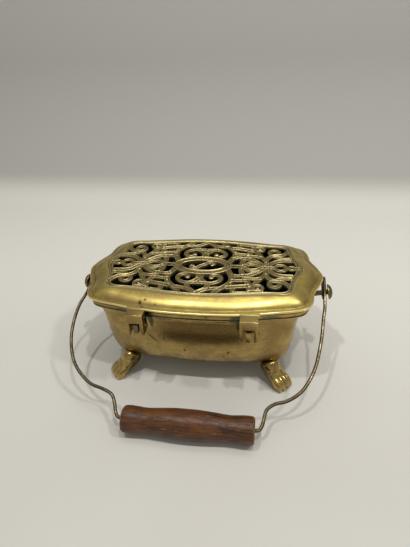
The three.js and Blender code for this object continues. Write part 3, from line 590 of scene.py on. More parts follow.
def outlineRing(quarter, perSpan):
    there, back = quarter[:-1], quarter[:0:-1]
    whole = [*there, *((-x, y) for x, y in back)]
    whole += [*((-x, -y) for x, y in there), *((x, -y) for x, y in back)]
    return smoothLine(np.array(whole) * (halfLength, halfDepth), perSpan, closed=True)


def levelRing(row, perSpan):
    # row: share of the wall's height, then of the way from the rim line to the base line
    share, shareX, shareY = row
    rim, base = outlineRing(rimLine, perSpan), outlineRing(baseLine, perSpan)
    flat = rim + (base - rim) * (shareX, shareY)
    z = tubBottom + share * (rimTop - tubBottom)
    return np.column_stack([flat, np.full(len(flat), z)])


# Waves of the raised sheet: lengths in mm and shifts of the long and the short ones
waveValues = {
    "long": (13, 9, 21), "longShift": (1.3, 0.4), "short": (6.1, 7.3, 8.7), "shortShift": (2.1, 0.7),
    "shortShare": 0.6, "mean": 0.5, "swing": 0.31,
}


def uneven(points, amount, v=waveValues):
    # slow hand-worked waves, always inwards, so the piece stays in the CAD's box
    moved = np.array(points)
    x, y, z = moved.T
    (longX, longZ, longY), (shiftX, shiftZ) = v["long"], v["longShift"]
    wave = np.sin(x / longX + shiftX) * np.sin(z / longZ + shiftZ + y / longY)
    (shortX, shortZ, shortY), (shiftX, shiftY) = v["short"], v["shortShift"]
    small = v["shortShare"] * np.sin(x / shortX + z / shortZ + shiftX) * np.sin(y / shortY + shiftY)
    wave = wave + small
    inwards = -moved[:, :2] / (np.linalg.norm(moved[:, :2], axis=1, keepdims=True) + 1e-6)
    moved[:, :2] += inwards * (amount * (v["mean"] + v["swing"] * wave))[:, None]
    return moved


# Shade bands: painted shade under the lid's flange, along the rim band's lower part and under it.
tubValues = {
    "perSpan": 8, "rowSteps": 4, "wavesMm": 0.35, "sharpAngle": 38, "hollows": (9, 2),
    "shadeBands": [(rimTop - 1.2, 1.1, 1.0), (rimTop - 6, 0.5, 1.0), (rimTop - 8.8, 0.5, 0.9)],
}
# Rows: share of the wall's height, then of the way from the rim line to the base line in X and Y.
tubOutside = [
    (0, 1.16, 1.2), (0.008, 1.05, 1.06), (0.035, 0.92, 0.93), (0.11, 0.8, 0.73), (0.26, 0.71, 0.52),
    (0.44, 0.64, 0.42), (0.6, 0.59, 0.39), (0.72, 0.53, 0.4), (0.8, 0.44, 0.39), (0.842, 0.35, 0.355),
    (0.858, 0.31, 0.34),
]
tubBand = [
    (0.866, 0.3, 0.345), (0.871, 0.31, 0.37), (0.875, 0.3, 0.37), (0.879, 0.2, 0.27),
    (0.881, 0.15, 0.21), (0.886, 0.13, 0.192), (0.893, 0.127, 0.191), (0.9, 0.125, 0.19),
    (0.907, 0.126, 0.192), (0.914, 0.127, 0.194), (0.926, 0.129, 0.197), (0.94, 0.13, 0.2),
    (0.96, 0.126, 0.196), (0.973, 0.122, 0.192), (0.985, 0.12, 0.19), (0.997, 0.13, 0.2),
]
tubLip = [(1, 0.15, 0.22), (1, 0.24, 0.34), (0.996, 0.262, 0.366), (0.985, 0.28, 0.385)]
tubInside = [
    (0.86, 0.45, 0.53), (0.75, 0.64, 0.57), (0.6, 0.7, 0.57), (0.3, 0.81, 0.69), (0.13, 0.94, 0.97),
    (0.054, 1.2, 1.3),
]


def buildTub(v):
    steps, perSpan = v["rowSteps"], v["perSpan"]
    rows = [*smoothLine(tubOutside, steps), *tubBand, *tubLip, *smoothLine(tubInside, steps)]
    rings = [inFrame(uneven(levelRing(row, perSpan), v["wavesMm"])) for row in rows]
    tub = loft("raisedTub", rings, sharpAngle=v["sharpAngle"])
    markHollows(tub, *v["hollows"], shadeBands=v["shadeBands"])
    finishPiece(tub, tubMetal, "box", "tub_brass", "tub")


buildTub(tubValues)

panValues = {"perSpan": 6, "bendShare": 0.04, "sharpAngle": 50, "hollows": (4, 3)}
panRows = [
    (0.187, 1.22, 1.36), (0.236, 1.08, 1.22), (0.744, 0.84, 0.98), (0.77, 0.634, 0.606),
    (0.796, 0.634, 0.606), (0.796, 0.9, 1.08), (0.255, 1.14, 1.32), (0.211, 1.26, 1.42),
]


def buildPan(v):
    # each bend of the pan is rounded by a close pair of rows
    rows = [np.array(row) for row in panRows]
    closeRows = [rows[0]]
    for before, here, after in zip(rows, rows[1:], rows[2:]):
        closeRows += [here + (other - here) * v["bendShare"] for other in (before, after)]
    rings = [inFrame(levelRing(row, v["perSpan"])) for row in [*closeRows, rows[-1]]]
    pan = loft("emberPan", rings, sharpAngle=v["sharpAngle"])
    markHollows(pan, *v["hollows"])
    finishPiece(pan, panMetal, "box", "pan_brass", "ember_pan")


buildPan(panValues)
print("tub and pan made")

# Lid frame: rows of share of the way from the rim line to the seam line, and height in mm
lidValues = {
    "perSpan": 8, "gap": 0.3, "edge": 1.7, "rise": 8.6, "panel": 2.5, "wavesMm": 0.2,
    "sharpAngle": 32, "rowSteps": 4, "lip": 8.2, "hollows": (5, 2),
}
flangeUnder = [(0.03, 0), (0.005, 0.12), (0, 0.4)]
# flangeTop counts its heights from the flange's top face, and panelSeat from the seat.
flangeTop = [
    (0, -0.75), (0.007, -0.4), (0.022, -0.12), (0.045, 0), (0.12, 0.1), (0.2, 0.22), (0.235, 0.32),
]
cushion = [(0.25, 2.15), (0.33, 3.7), (0.45, 5.25), (0.6, 6.7), (0.78, 7.85), (0.93, 8.4), (1, 8.45)]
panelSeat = [(1, 0), (1.13, 0), (1.13, -1.6), (0.9, -1.65)]
lidInside = [(0.6, 4.1), (0.4, 0)]


def lidRing(share, height, v):
    rim, seam = outlineRing(rimLine, v["perSpan"]), outlineRing(seamLine, v["perSpan"])
    flat = rim + (seam - rim) * share
    return np.column_stack([flat, np.full(len(flat), rimTop + v["gap"] + height)])


def buildLidFrame(v):
    seat = v["rise"] - v["panel"]
    rows = flangeUnder + [(share, v["edge"] + z) for share, z in flangeTop]
    rows += [*smoothLine(cushion, v["rowSteps"]), (1, v["lip"])]
    rows += [(share, seat + z) for share, z in panelSeat] + lidInside
    rings = [inFrame(uneven(lidRing(share, height, v), v["wavesMm"])) for share, height in rows]
    lid = loft("lidCushion", rings, loop=True, sharpAngle=v["sharpAngle"])
    markHollows(lid, *v["hollows"])
    finishPiece(lid, lidMetal, "lid", "lid_brass", "lid_frame")


buildLidFrame(lidValues)

# Hinges, in line with one point of the rim line
hingeX = rimLine[8][0] * halfLength
hingeY = (hingePlace[1] - middle[1]) / mm
hingeZ = hingePlace[2] / mm
flangeBase = rimTop + lidValues["gap"]
boreValues = {"radius": 1.75, "reach": 12, "sides": 24}
forkValues = {
    "half": 7.1, "cheek": 2.5, "frontOut": 8.2, "backIn": 1.5, "heelIn": 2.8, "below": 4.2, "wall": 2,
    "roofBelow": 2.8, "shoulderBelow": 6.4, "step": 1.5, "chamfer": 1.6, "fold": 0.5, "foldShare": 0.3,
    "notchHalf": 4.2, "notchUp": 7.5, "notchIn": 0.3, "clear": 2, "bevel": 0.3, "hollows": (2, 1),
    "rootHalf": 8.4, "rootIn": 4.65, "flare": 1, "rootBevel": 0.2, "rootLift": 0.02,
}


def alongHinge(name, profile, side, sides):
    return lathe(name, profile, (side * hingeX, hingeY, hingeZ), (1, 0, 0), sides)


def pinBore(side):
    reach, radius = boreValues["reach"], boreValues["radius"]
    return alongHinge("bore", [(-reach, radius), (reach, radius)], side, boreValues["sides"])


def buildFork(side, v):
    # a level tab folded down into a plate, with two cheeks behind it for the pin
    x, base = side * hingeX, flangeBase
    front, back, heel = hingeY - v["frontOut"], hingeY + v["backIn"], hingeY + v["heelIn"]
    low, shoulder, root = hingeZ - v["below"], rimTop - v["shoulderBelow"], hingeY + v["rootIn"]
    top, chamfer, fold = base + lidValues["edge"], v["chamfer"], v["fold"]
    turned = fold * v["foldShare"]
    profile = [
        (root, base), (back, base), (back, shoulder), (heel, shoulder - v["step"]),
        (heel, low + chamfer), (heel - chamfer, low), (front, low), (front, top - fold),
        (front + turned, top - turned), (front + fold, top), (root, top),
    ]
    rings = [inFrame([(x + end * v["half"], y, z) for y, z in profile]) for end in (-1, 1)]
    fork = loft(sided("hingeFork", side), rings)
    inner, notch, behind = v["half"] - v["cheek"], v["notchHalf"], front + v["wall"]
    hollowTop, notchTop, clear = rimTop - v["roofBelow"], hingeZ + v["notchUp"], v["clear"]
    notchBack = behind + v["notchIn"]
    cutAway(fork, [
        boxMesh("hollow", (x - inner, behind, low - clear), (x + inner, heel + clear, hollowTop)),
        boxMesh("notch", (x - notch, front - clear, low - clear), (x + notch, notchBack, notchTop)),
        pinBore(side),
    ])
    bevelEdges(fork, v["bevel"])
    markHollows(fork, *v["hollows"])
    finishPiece(fork, tubMetal, "lid", "lid_brass")


def buildForkRoot(side, v):
    # the flange widens into the fork
    neckMiddle, root = hingeY + v["backIn"], hingeY + v["rootIn"]
    neck, flare = neckMiddle - v["flare"], neckMiddle + v["flare"]
    wide, slim = v["rootHalf"], v["half"]
    shape = [(-wide, root), (-wide, flare), (-slim, neck), (slim, neck), (wide, flare), (wide, root)]
    heights = (flangeBase, flangeBase + lidValues["edge"] + v["rootLift"])
    rings = [inFrame([(side * hingeX + px, py, z) for px, py in shape]) for z in heights]
    plate = loft(sided("forkRoot", side), rings)
    bevelEdges(plate, v["rootBevel"])
    markHollows(plate, *v["hollows"])
    finishPiece(plate, lidMetal, "lid", "lid_brass")


for side in hands:
    buildFork(side, forkValues)
    buildForkRoot(side, forkValues)

# Hinge pins, and the lugs of the tub that they turn in: a filed iron peg and a folded brass strip
pinValues = {
    "radius": 1.5, "half": 8, "chamfer": 0.25, "tip": 0.3, "sides": 32, "hollows": (2, 1, 0.1),
}
lugValues = {"gap": (0.4, 0, 0), "highGap": (0.4, 0, 0.7), "bevel": 0.45, "hollows": (2, 1, 0.25)}


def buildPin(side, v):
    h, r, c = v["half"], v["radius"], v["chamfer"]
    rod = [(-h, v["tip"]), (-h, r - c), (-h + c, r), (h - c, r), (h, r - c), (h, v["tip"])]
    pin = alongHinge(sided("hingePin", side), rod, side, v["sides"])
    markHollows(pin, *v["hollows"])
    finishPiece(pin, darkMetal, "lid", "iron", "hinge_pin_" + hands[side])


def buildLug(side, material, slot, v):
    node = "hinge_lug_" + hands[side]
    low, high = ((np.array(corner) - middle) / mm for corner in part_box(node))
    lug = boxMesh(sided("hingeLug", side), low + v["gap"], high - v["highGap"])
    cutAway(lug, [pinBore(side)])
    bevelEdges(lug, v["bevel"])
    markHollows(lug, *v["hollows"])
    finishPiece(lug, material, "box", slot, node)


for side in hands:
    buildPin(side, pinValues)
buildLug(-1, ironMetal, "iron", lugValues)
buildLug(1, tubMetal, "tub_brass", lugValues)
print("lid frame and hinges made")

# Pierced panel: the same strapwork as the CAD's, with grooved straps
panelValues = {
    "top": lidValues["rise"] + 0.3, "fullness": 1.4, "step": 0.9, "ovalHalf": (22.8, 11.8),
    "ovalWidth": 6.6, "stem": (11, 22.4, 6.8), "spineInner": (53, 64.5), "spineOuter": (82, 88),
    "spineWidth": 4.6, "scrollWidth": 3.9, "scrollTaper": 0.35, "scrollBud": 1.7, "budSink": 0.02,
    "sink": 0.1, "layerSink": 0.13, "weave": 0.12, "weaveMm": 3.2, "weaveShift": 1.7,
    "leastSink": 0.03, "ringSides": 36, "ovalSides": 90, "borderFrom": 1.018, "bottomUp": 0.3,
    "sharpAngle": 50, "hollows": (2.6, 0),
}
# Each strap: width in mm, layer (0 is on top), centre line in one quarter
straps = [
    (3.6, 0, [
        (22.8, 0), (23.6, -6), (26, -12.5), (28, -19), (27.4, -26), (24, -31.6), (19.5, -36.6),
        (16, -41), (14.4, -46),
    ]),
    (2.8, 2, [
        (0, -28.3), (6, -28.7), (12, -28.4), (16.8, -25.6), (19, -21), (17, -16.9), (13, -15.7),
        (10.2, -17.4), (10.4, -20),
    ]),
    (3, 3, [(0, -21.2), (3.6, -25), (7, -28.5)]),
    (3.2, 1, [(0, -43.8), (3.6, -40.6), (7.8, -36.4), (8.8, -32.4), (7.2, -28.6)]),
    (2.8, 3, [(3, -41.6), (8.5, -37.8), (14, -36), (20.5, -35.4)]),
    (3.4, 0, [
        (35.8, 0), (35.4, -6), (36.5, -12), (38.6, -18), (41.2, -24), (43.6, -30), (43.8, -36),
        (42.6, -43),
    ]),
    (2.8, 2, [(26.4, -13.8), (31.5, -15.7), (37.4, -14.6)]),
    (2.8, 3, [(27.8, -23), (33, -22.6), (40.4, -21.8)]),
    (3.4, 1, [(24, -34), (30, -32.8), (36.5, -31.6), (43.5, -29.8)]),
    (3, 2, [(30.4, -33.4), (30.2, -38), (31, -44)]),
    (3, 3, [(31, -42), (37, -41), (43.4, -40.4)]),
    (3.4, 1, [
        (36.6, -14.4), (42, -13.9), (47, -11), (51.6, -6.6), (56, 0), (60.4, 5.6), (65, 10.4),
        (71, 12.7), (80, 13),
    ]),
    (2.6, 3, [(36, -1.4), (39.6, -3.2), (44, -4.4), (48.6, -3.4), (53.4, 0.8)]),
    (2.8, 2, [(39, -19.2), (46, -19.4), (52.8, -17.6)]),
    (3, 0, [
        (56.6, -1), (57, -8.5), (57.4, -13.5), (60, -18.4), (65, -21.2), (70.5, -22.4), (75, -26.5),
        (78.4, -33),
    ]),
    (2.8, 3, [(64, -20.8), (68.4, -17.6), (73, -16.8), (80, -17.2)]),
    (3, 1, [(56.4, -11), (52.8, -17.6), (49.6, -24), (46.8, -29), (46.6, -34)]),
    (3.6, 2, [(43, -39.4), (49, -38.6), (55, -38.8)]),
    (4, 1, [(50.6, -36.4), (50.6, -41)]),
    (3.8, 2, [(25, 0), (30, 0), (35.6, 0)]),
]
# Rings in each quarter and on the long axis: place, radius, width. Buds: place, radius.
sideRings = [(64.2, -26.5, 4.4, 3.8), (50.6, -33.2, 3.9, 3)]
midRings = [(69.8, 0, 4.9, 3.4), (79.4, 0, 2.7, 2.6), (46.4, 0, 8.6, 2.8)]
buds = [
    (10.4, -19.9, 2.1), (50.6, -33.2, 1.3), (43.6, -30, 1.5), (27.4, -26, 1.2), (56.8, -10, 1.3),
    (0, -28.3, 1.7),
]
scroll = [
    (8.6, 1.2), (10.6, 3.6), (8.2, 5.8), (4.8, 4.4), (2.2, 1.6), (-2.2, -1.6), (-4.8, -4.4),
    (-8.2, -5.8), (-10.6, -3.6), (-8.6, -1.2),
]
# Border: share of the way from the seam line to the pierced line, and way under the top
borderRows = [
    (0, 0.9), (0.04, 0.4), (0.13, 0.08), (0.24, 0), (0.36, 0.1), (0.46, 0.55), (0.54, 0.7),
    (0.66, 0.6), (0.76, 0.14), (0.86, 0.05), (0.95, 0.12), (1, 0.4),
]
# Bud: height, share of its radius
budDome = [(-1.6, 0.97), (-0.75, 1), (-0.4, 0.93), (-0.12, 0.66), (0, 0.2)]
budSides = 20
# Section of a strap of width 1: a flat sunk middle between two narrow raised rims.
strapSection = [
    (-0.5, -0.6), (-0.5, -0.1), (-0.475, -0.03), (-0.43, 0), (-0.385, -0.02), (-0.33, -0.12),
    (-0.2, -0.15), (0, -0.14), (0.2, -0.15), (0.33, -0.12), (0.385, -0.02), (0.43, 0),
    (0.475, -0.03), (0.5, -0.1), (0.5, -0.6),
]


def evenLine(points, step, perSpan=16, fewest=3):
    # a smooth line with points at even steps
    line = smoothLine(points, perSpan)
    away = np.concatenate([[0], np.cumsum(np.linalg.norm(np.diff(line, axis=0), axis=1))])
    marks = np.linspace(0, away[-1], max(fewest, round(away[-1] / step)))
    return np.column_stack([np.interp(marks, away, line[:, k]) for k in range(2)])


def strapPaths(v):
    # every centre line of the panel: (points with height, widths, closed)
    paths = []
    top = flangeBase + v["top"]

    def put(points, width, layer, closed=False, taper=0.0, fullness=1.0):
        line = np.asarray(points, float)
        sink = np.full(len(line), v["sink"] + v["layerSink"] * layer)
        if not closed:
            line = evenLine(line, v["step"])
            way = np.linspace(0, 1, len(line))
            turns = way * (len(line) * v["step"]) / v["weaveMm"] + layer * v["weaveShift"]
            sink = v["sink"] + v["layerSink"] * layer + v["weave"] * np.sin(turns)
            width = width * (1 - taper * np.abs(2 * way - 1) ** 3)
        widths = np.broadcast_to(width, len(line)) * fullness
        heights = top - np.maximum(sink, v["leastSink"])
        paths.append((np.column_stack([line, heights]), widths, closed))

    def circle(x, y, radiusX, radiusY, count):
        angle = np.arange(count) * 2 * math.pi / count
        return np.column_stack([x + radiusX * np.cos(angle), y + radiusY * np.sin(angle)])

    stemFrom, stemTo, stemWidth = v["stem"]
    for mx in (1, -1):
        for my in (1, -1):
            for width, layer, points in straps:
                put([(mx * x, my * y) for x, y in points], width, layer, fullness=v["fullness"])
            for x, y, radius, width in sideRings:
                put(circle(mx * x, my * y, radius, radius, v["ringSides"]), width, 0, True)
        for x, y, radius, width in midRings:
            put(circle(mx * x, y, radius, radius, v["ringSides"]), width, 1, True)
        for start, end in (v["spineInner"], v["spineOuter"]):
            put([(mx * start, 0), (mx * end, 0)], v["spineWidth"], 2)
        put([(0, mx * stemFrom), (0, mx * stemTo)], stemWidth, 2)
    put(circle(0, 0, *v["ovalHalf"], v["ovalSides"]), v["ovalWidth"], 0, True)
    put(scroll, v["scrollWidth"], 0, taper=v["scrollTaper"])
    return paths


def startTree(name, inputs, output):
    # an empty Geometry Nodes tree with its named inputs and output
    tree = bpy.data.node_groups.new(name, "GeometryNodeTree")
    for label, kind in inputs.items():
        tree.interface.new_socket(label, in_out="INPUT", socket_type="NodeSocket" + kind)
    tree.interface.new_socket(output, in_out="OUTPUT", socket_type="NodeSocketGeometry")
    return tree, addNode(tree, "NodeGroupInput").outputs


def sweepAlong(tree, given, curve, section, **links):
    # sweeps a section along a curve, and ends the tree with real geometry in its metal
    sweep = addNode(
        tree, "GeometryNodeCurveToMesh", Curve=curve, Profile_Curve=section, Fill_Caps=True, **links,
    )
    whole = addNode(tree, "GeometryNodeRealizeInstances", Geometry=sweep.outputs[0])
    metal = addNode(
        tree, "GeometryNodeSetMaterial", Geometry=whole.outputs[0], Material=given["Metal"],
    )
    addNode(tree, "NodeGroupOutput", s0=metal.outputs[0])
    return tree


def strapTree():
    inputs = {"Paths": "Geometry", "Section": "Object", "Fullness": "Float", "Metal": "Material"}
    tree, given = startTree("strapSweep", inputs, "Panel")
    paths = addNode(tree, "GeometryNodeMeshToCurve", Mesh=given["Paths"])
    upright = addNode(tree, "GeometryNodeSetCurveNormal", {"mode": "Z_UP"}, Curve=paths.outputs[0])
    shape = addNode(tree, "GeometryNodeObjectInfo", Object=given["Section"])
    section = addNode(tree, "GeometryNodeMeshToCurve", Mesh=shape.outputs["Geometry"])
    width = addNode(tree, "GeometryNodeInputNamedAttribute", {"data_type": "FLOAT"}, Name="strapWidth")
    scale = addNode(tree, "ShaderNodeMath", multiply, s0=width.outputs[0], s1=given["Fullness"])
    return sweepAlong(tree, given, upright.outputs[0], section.outputs[0], Scale=scale.outputs[0])


def useTree(obj, tree, **values):
    # sets a tree's inputs by their sockets' identifiers, and keeps what the tree makes
    change = obj.modifiers.new("nodes", "NODES")
    change.node_group = tree
    for socket in tree.interface.items_tree:
        if socket.item_type == "SOCKET" and socket.in_out == "INPUT" and socket.name in values:
            change[socket.identifier] = values[socket.name]
    applyModifiers(obj)


def bud(x, y, radius, top):
    dome = [(height, radius * share) for height, share in budDome]
    return lathe("bud", dome, (x, y, top), (0, 0, 1), budSides)


def buildPanel(v):
    points, widths, closed = zip(*strapPaths(v))
    lines = polylineObject("strapwork", [inFrame(p) for p in points], closed)
    widths = (np.concatenate(widths) * mm).astype(np.float32)
    lines.data.attributes.new("strapWidth", "FLOAT", "POINT").data.foreach_set("value", widths)
    # the sweep turns the section's +Y down
    section = polylineObject("strapSection", [[(x, -y, 0) for x, y in strapSection]], [True])
    useTree(lines, strapTree(), Section=section, Fullness=1.0, Metal=panelMetal)
    bpy.data.objects.remove(section)
    bottom = flangeBase + lidValues["rise"] - lidValues["panel"] + v["bottomUp"]
    top = flangeBase + v["top"]
    edge = lidRing(v["borderFrom"], 0, lidValues)
    inner = np.column_stack([outlineRing(piercedLine, lidValues["perSpan"]), np.zeros(len(edge))])
    borderRings = []
    for share, z in [(0, bottom), *((share, top - drop) for share, drop in borderRows), (1, bottom)]:
        ring = edge + (inner - edge) * share
        ring[:, 2] = z
        borderRings.append(inFrame(ring))
    pieces = [lines, loft("border", borderRings, loop=True)]
    for mx in (1, -1):
        for my in (1, -1):
            pieces += [bud(mx * x, my * y, r, top - v["budSink"]) for x, y, r in buds]
    pieces += [bud(x, y, v["scrollBud"], top) for x, y in (scroll[0], scroll[-1])]
    panel = joinObjects("strapworkPanel", pieces)
    shadeByAngle(panel.data, v["sharpAngle"])
    markHollows(panel, *v["hollows"])
    finishPiece(panel, panelMetal, "lid", "panel_brass", "lid_panel")


buildPanel(panelValues)
print("pierced panel made")

# Studs and bosses of the bail, along an axis that rises outwards
studValues = {
    "radius": 2.3, "tilt": 12, "head": 6.9, "headFrom": 3.3, "dome": 4.2, "clear": 2.2, "flare": 0.4,
    "tip": 0.4, "rootPast": 1.2, "wallShare": 0.475, "sides": 40, "sharpAngle": 42,
    "domeAngles": (24, 85, 10), "hollows": (3, 1, 0.06), "bossHollows": (3, 1, 0.1),
}
# Edge of the head: way past its start, way in from its radius. Boss: way from the wall, radius.
headEdge = [(0.1, 0.5), (0.25, 0.1), (0.6, 0), (1, 0.12)]
bossSection = [(-1.8, 4.95), (3.9, 4.55), (5.3, 4.3), (5.8, 3.9), (5.8, 2.6), (-1.8, 2.6)]
pivotX = halfLength + studValues["clear"]
pivotZ = swingPlace[2] / mm
endWall = (1 + (baseLine[0][0] - 1) * studValues["wallShare"]) * halfLength
wallReach = (pivotX - endWall) / math.cos(math.radians(studValues["tilt"]))


def buildStud(side, v):
    tilt, place = math.radians(v["tilt"]), (side * pivotX, 0, pivotZ)
    out = (side * math.cos(tilt), 0, math.sin(tilt))
    head, start, shank, flare = v["head"], v["headFrom"], v["radius"], v["flare"]
    root = -wallReach - v["rootPast"]
    profile = [(root, v["tip"]), (root, shank), (start - flare, shank), (start, shank + flare)]
    profile += [(start + way, head - inset) for way, inset in headEdge]
    bend = np.radians(range(*v["domeAngles"]))
    profile += [(start + v["dome"] * math.sin(a), head * math.cos(a)) for a in bend]
    stud = lathe(sided("stud", side), profile, place, out, v["sides"], v["sharpAngle"])
    markHollows(stud, *v["hollows"])
    finishPiece(stud, darkMetal, "box", "dark_brass", "stud_" + hands[side])
    boss = [(way - wallReach, radius) for way, radius in bossSection]
    ring = lathe(sided("boss", side), boss, place, out, v["sides"], loop=True)
    markHollows(ring, *v["bossHollows"])
    finishPiece(ring, darkMetal, "box", "dark_brass", "stud_boss_" + hands[side])


for side in hands:
    buildStud(side, studValues)

# Bail: one wire from eye to eye
bailValues = {
    "radius": 1.42, "sides": 16, "eyeHalf": 4.4, "eyeSteps": 6, "eyeOut": 2, "hookEnd": 1,
    "fade": 0.45, "reachY": 110.2, "belly": 11.8, "gripLength": 105, "gripMiddle": 1, "lead": 8,
    "leadShare": 1 / 8, "perSpan": 6, "sharpAngle": 60, "hollows": (1, 1, 0.05),
}
# Eyes: how far each one reaches past its stud, and the length of its slot
eyes = {-1: {"back": 0, "slot": 9}, 1: {"back": 9.8, "slot": 10.4}}
# Hook of an eye: way past its near end, and lift. Arms: shares of the half length and reach.
eyeHook = [(5.2, 0.6), (4.4, -1.7), (2.4, -3.7)]
armRight = [
    (1.019, 0.14), (1.006, 0.222), (0.993, 0.33), (0.972, 0.439), (0.925, 0.592), (0.835, 0.73),
    (0.728, 0.801), (0.632, 0.83), (0.579, 0.868), (0.562, 0.92), (0.55, 0.966), (0.53, 0.994),
]
armLeft = [
    (1.036, 0.125), (1.071, 0.212), (1.086, 0.349), (1.074, 0.464), (1.034, 0.574), (0.976, 0.665),
    (0.897, 0.737), (0.8, 0.796), (0.69, 0.824), (0.611, 0.856), (0.573, 0.912), (0.553, 0.96),
    (0.527, 0.992),
]
gripPlace = np.array([bailValues["gripMiddle"], -bailValues["reachY"], bailValues["belly"]])
pivotPoint = np.array([0, 0, pivotZ])
reachWay = np.array([0, gripPlace[1], gripPlace[2] - pivotZ])
bailReach = np.linalg.norm(reachWay)
reachWay = reachWay / bailReach
liftWay = np.array([0, reachWay[2], -reachWay[1]])


def onBail(x, reach, lift):
    point = pivotPoint + reachWay * reach + liftWay * lift
    return (x, point[1], point[2])


def eyePoints(side, v):
    x, back, slot = side * pivotX, eyes[side]["back"], eyes[side]["slot"]
    near, half, steps = slot - back, v["eyeHalf"], v["eyeSteps"]
    angles = [-math.pi / 2 - math.pi * i / steps for i in range(steps + 1)]
    turn = [(-back + half * math.cos(a), half * math.sin(a)) for a in angles]
    hook = [*((near + way, lift) for way, lift in eyeHook), (near - v["hookEnd"], -half)]
    straight = [((near - back) / 2, half), (near + v["eyeOut"], half)]
    return [onBail(x, reach, lift) for reach, lift in hook + turn + straight]


def armPoints(side, arm, v):
    points = []
    for share, reachShare in arm:
        lift = v["eyeHalf"] * max(0, 1 - reachShare / v["fade"])
        points.append(onBail(side * share * halfLength, reachShare * bailReach, lift))
    return points


def wireTree():
    inputs = {"Route": "Geometry", "Radius": "Float", "Sides": "Int", "Metal": "Material"}
    tree, given = startTree("wireSweep", inputs, "Wire")
    route = addNode(tree, "GeometryNodeMeshToCurve", Mesh=given["Route"])
    section = {"Resolution": given["Sides"], "Radius": given["Radius"]}
    circle = addNode(tree, "GeometryNodeCurvePrimitiveCircle", **section)
    return sweepAlong(tree, given, route.outputs[0], circle.outputs[0])


def buildBail(v):
    start, end = (v["gripMiddle"] + side * v["gripLength"] / 2 for side in hands)
    lead, little = v["lead"], v["lead"] * v["leadShare"]
    inGrip = [start + little, start + lead, v["gripMiddle"], end - lead, end - little]
    route = eyePoints(-1, v) + armPoints(-1, armLeft, v) + [onBail(x, bailReach, 0) for x in inGrip]
    route += armPoints(1, armRight, v)[::-1] + eyePoints(1, v)[::-1]
    wire = polylineObject("bailWire", [inFrame(smoothLine(route, v["perSpan"]))], [False])
    useTree(wire, wireTree(), Radius=v["radius"] * mm, Sides=v["sides"], Metal=wireMetal)
    faceOutwards(wire.data)
    shadeByAngle(wire.data, v["sharpAngle"])
    markHollows(wire, *v["hollows"])
    finishPiece(wire, wireMetal, "bail", "wire", "bail_wire")


buildBail(bailValues)

# Turned grip: share of its length, radius; its ends dip to the bore
gripValues = {
    "sides": 72, "bore": 1.8, "boreRim": 0.6, "boreDepth": 3, "chamfer": 0.15, "endRadii": (8.9, 8.2),
    "perSpan": 6, "sharpAngle": 40, "toolWavesMm": 0.12, "toolMm": (4.3, 9), "skinFrom": (3, 6),
    "rubAt": 0.6, "rubMm": 2.4, "boreWear": 0.1, "topSheen": 0.22,
}
gripSection = [
    (0, 9.4), (0.012, 10.4), (0.05, 10.8), (0.11, 10.5), (0.19, 9.95), (0.3, 10.9), (0.4, 11.6),
    (0.5, 11.8),
]


def gripProfile(v, length):
    half = [((share - 0.5) * length, r) for share, r in gripSection]
    line = smoothLine(half + [(-x, r) for x, r in half[-2::-1]], v["perSpan"])
    bore, end, (outer, inner) = v["bore"], length / 2, v["endRadii"]
    bevelled = end - v["chamfer"]
    endFace = [(bevelled, outer), (end, inner), (end, bore + v["boreRim"]), (bevelled, bore)]
    endFace.append((end - v["boreDepth"], bore))
    return [(-x, radius) for x, radius in endFace[::-1]] + [*line[1:-1], *endFace]


def buildGrip(v):
    # faint tool marks round the wood, wear at the ends, and a painted highlight along the top
    length, x0, y0, z0 = bailValues["gripLength"], *gripPlace
    (coarse, fine), (marked, worn) = v["toolMm"], v["skinFrom"]
    rings, wearAndSheen = [], []
    for x, radius in gripProfile(v, length):
        ring = []
        for i in range(v["sides"]):
            angle = 2 * math.pi * i / v["sides"]
            tool = math.sin(x / coarse + 2 * math.sin(angle)) * math.sin(3 * angle + x / fine)
            wave = v["toolWavesMm"] * (0.5 + 0.5 * tool)
            reach = radius - wave if radius > marked else radius
            ring.append((x0 + x, y0 + reach * math.cos(angle), z0 + reach * math.sin(angle)))
            fromEnd = abs(abs(x) - length / 2 + v["rubAt"]) / v["rubMm"]
            rim = max(0, 1 - fromEnd) if radius > worn else v["boreWear"]
            # wear at the ends, plus a painted highlight on the grip's upper side
            wearAndSheen.append(min(1, rim + v["topSheen"] * max(0, math.sin(angle))))
        rings.append(inFrame(ring))
    grip = loft("turnedGrip", rings, loop=True, sharpAngle=v["sharpAngle"])
    grip.data.attributes.new("wearAndSheen", "FLOAT", "POINT").data.foreach_set("value", wearAndSheen)
    finishPiece(grip, gripWood, "grip", "wood", "wood_grip")


buildGrip(gripValues)
print("bail and grip made")

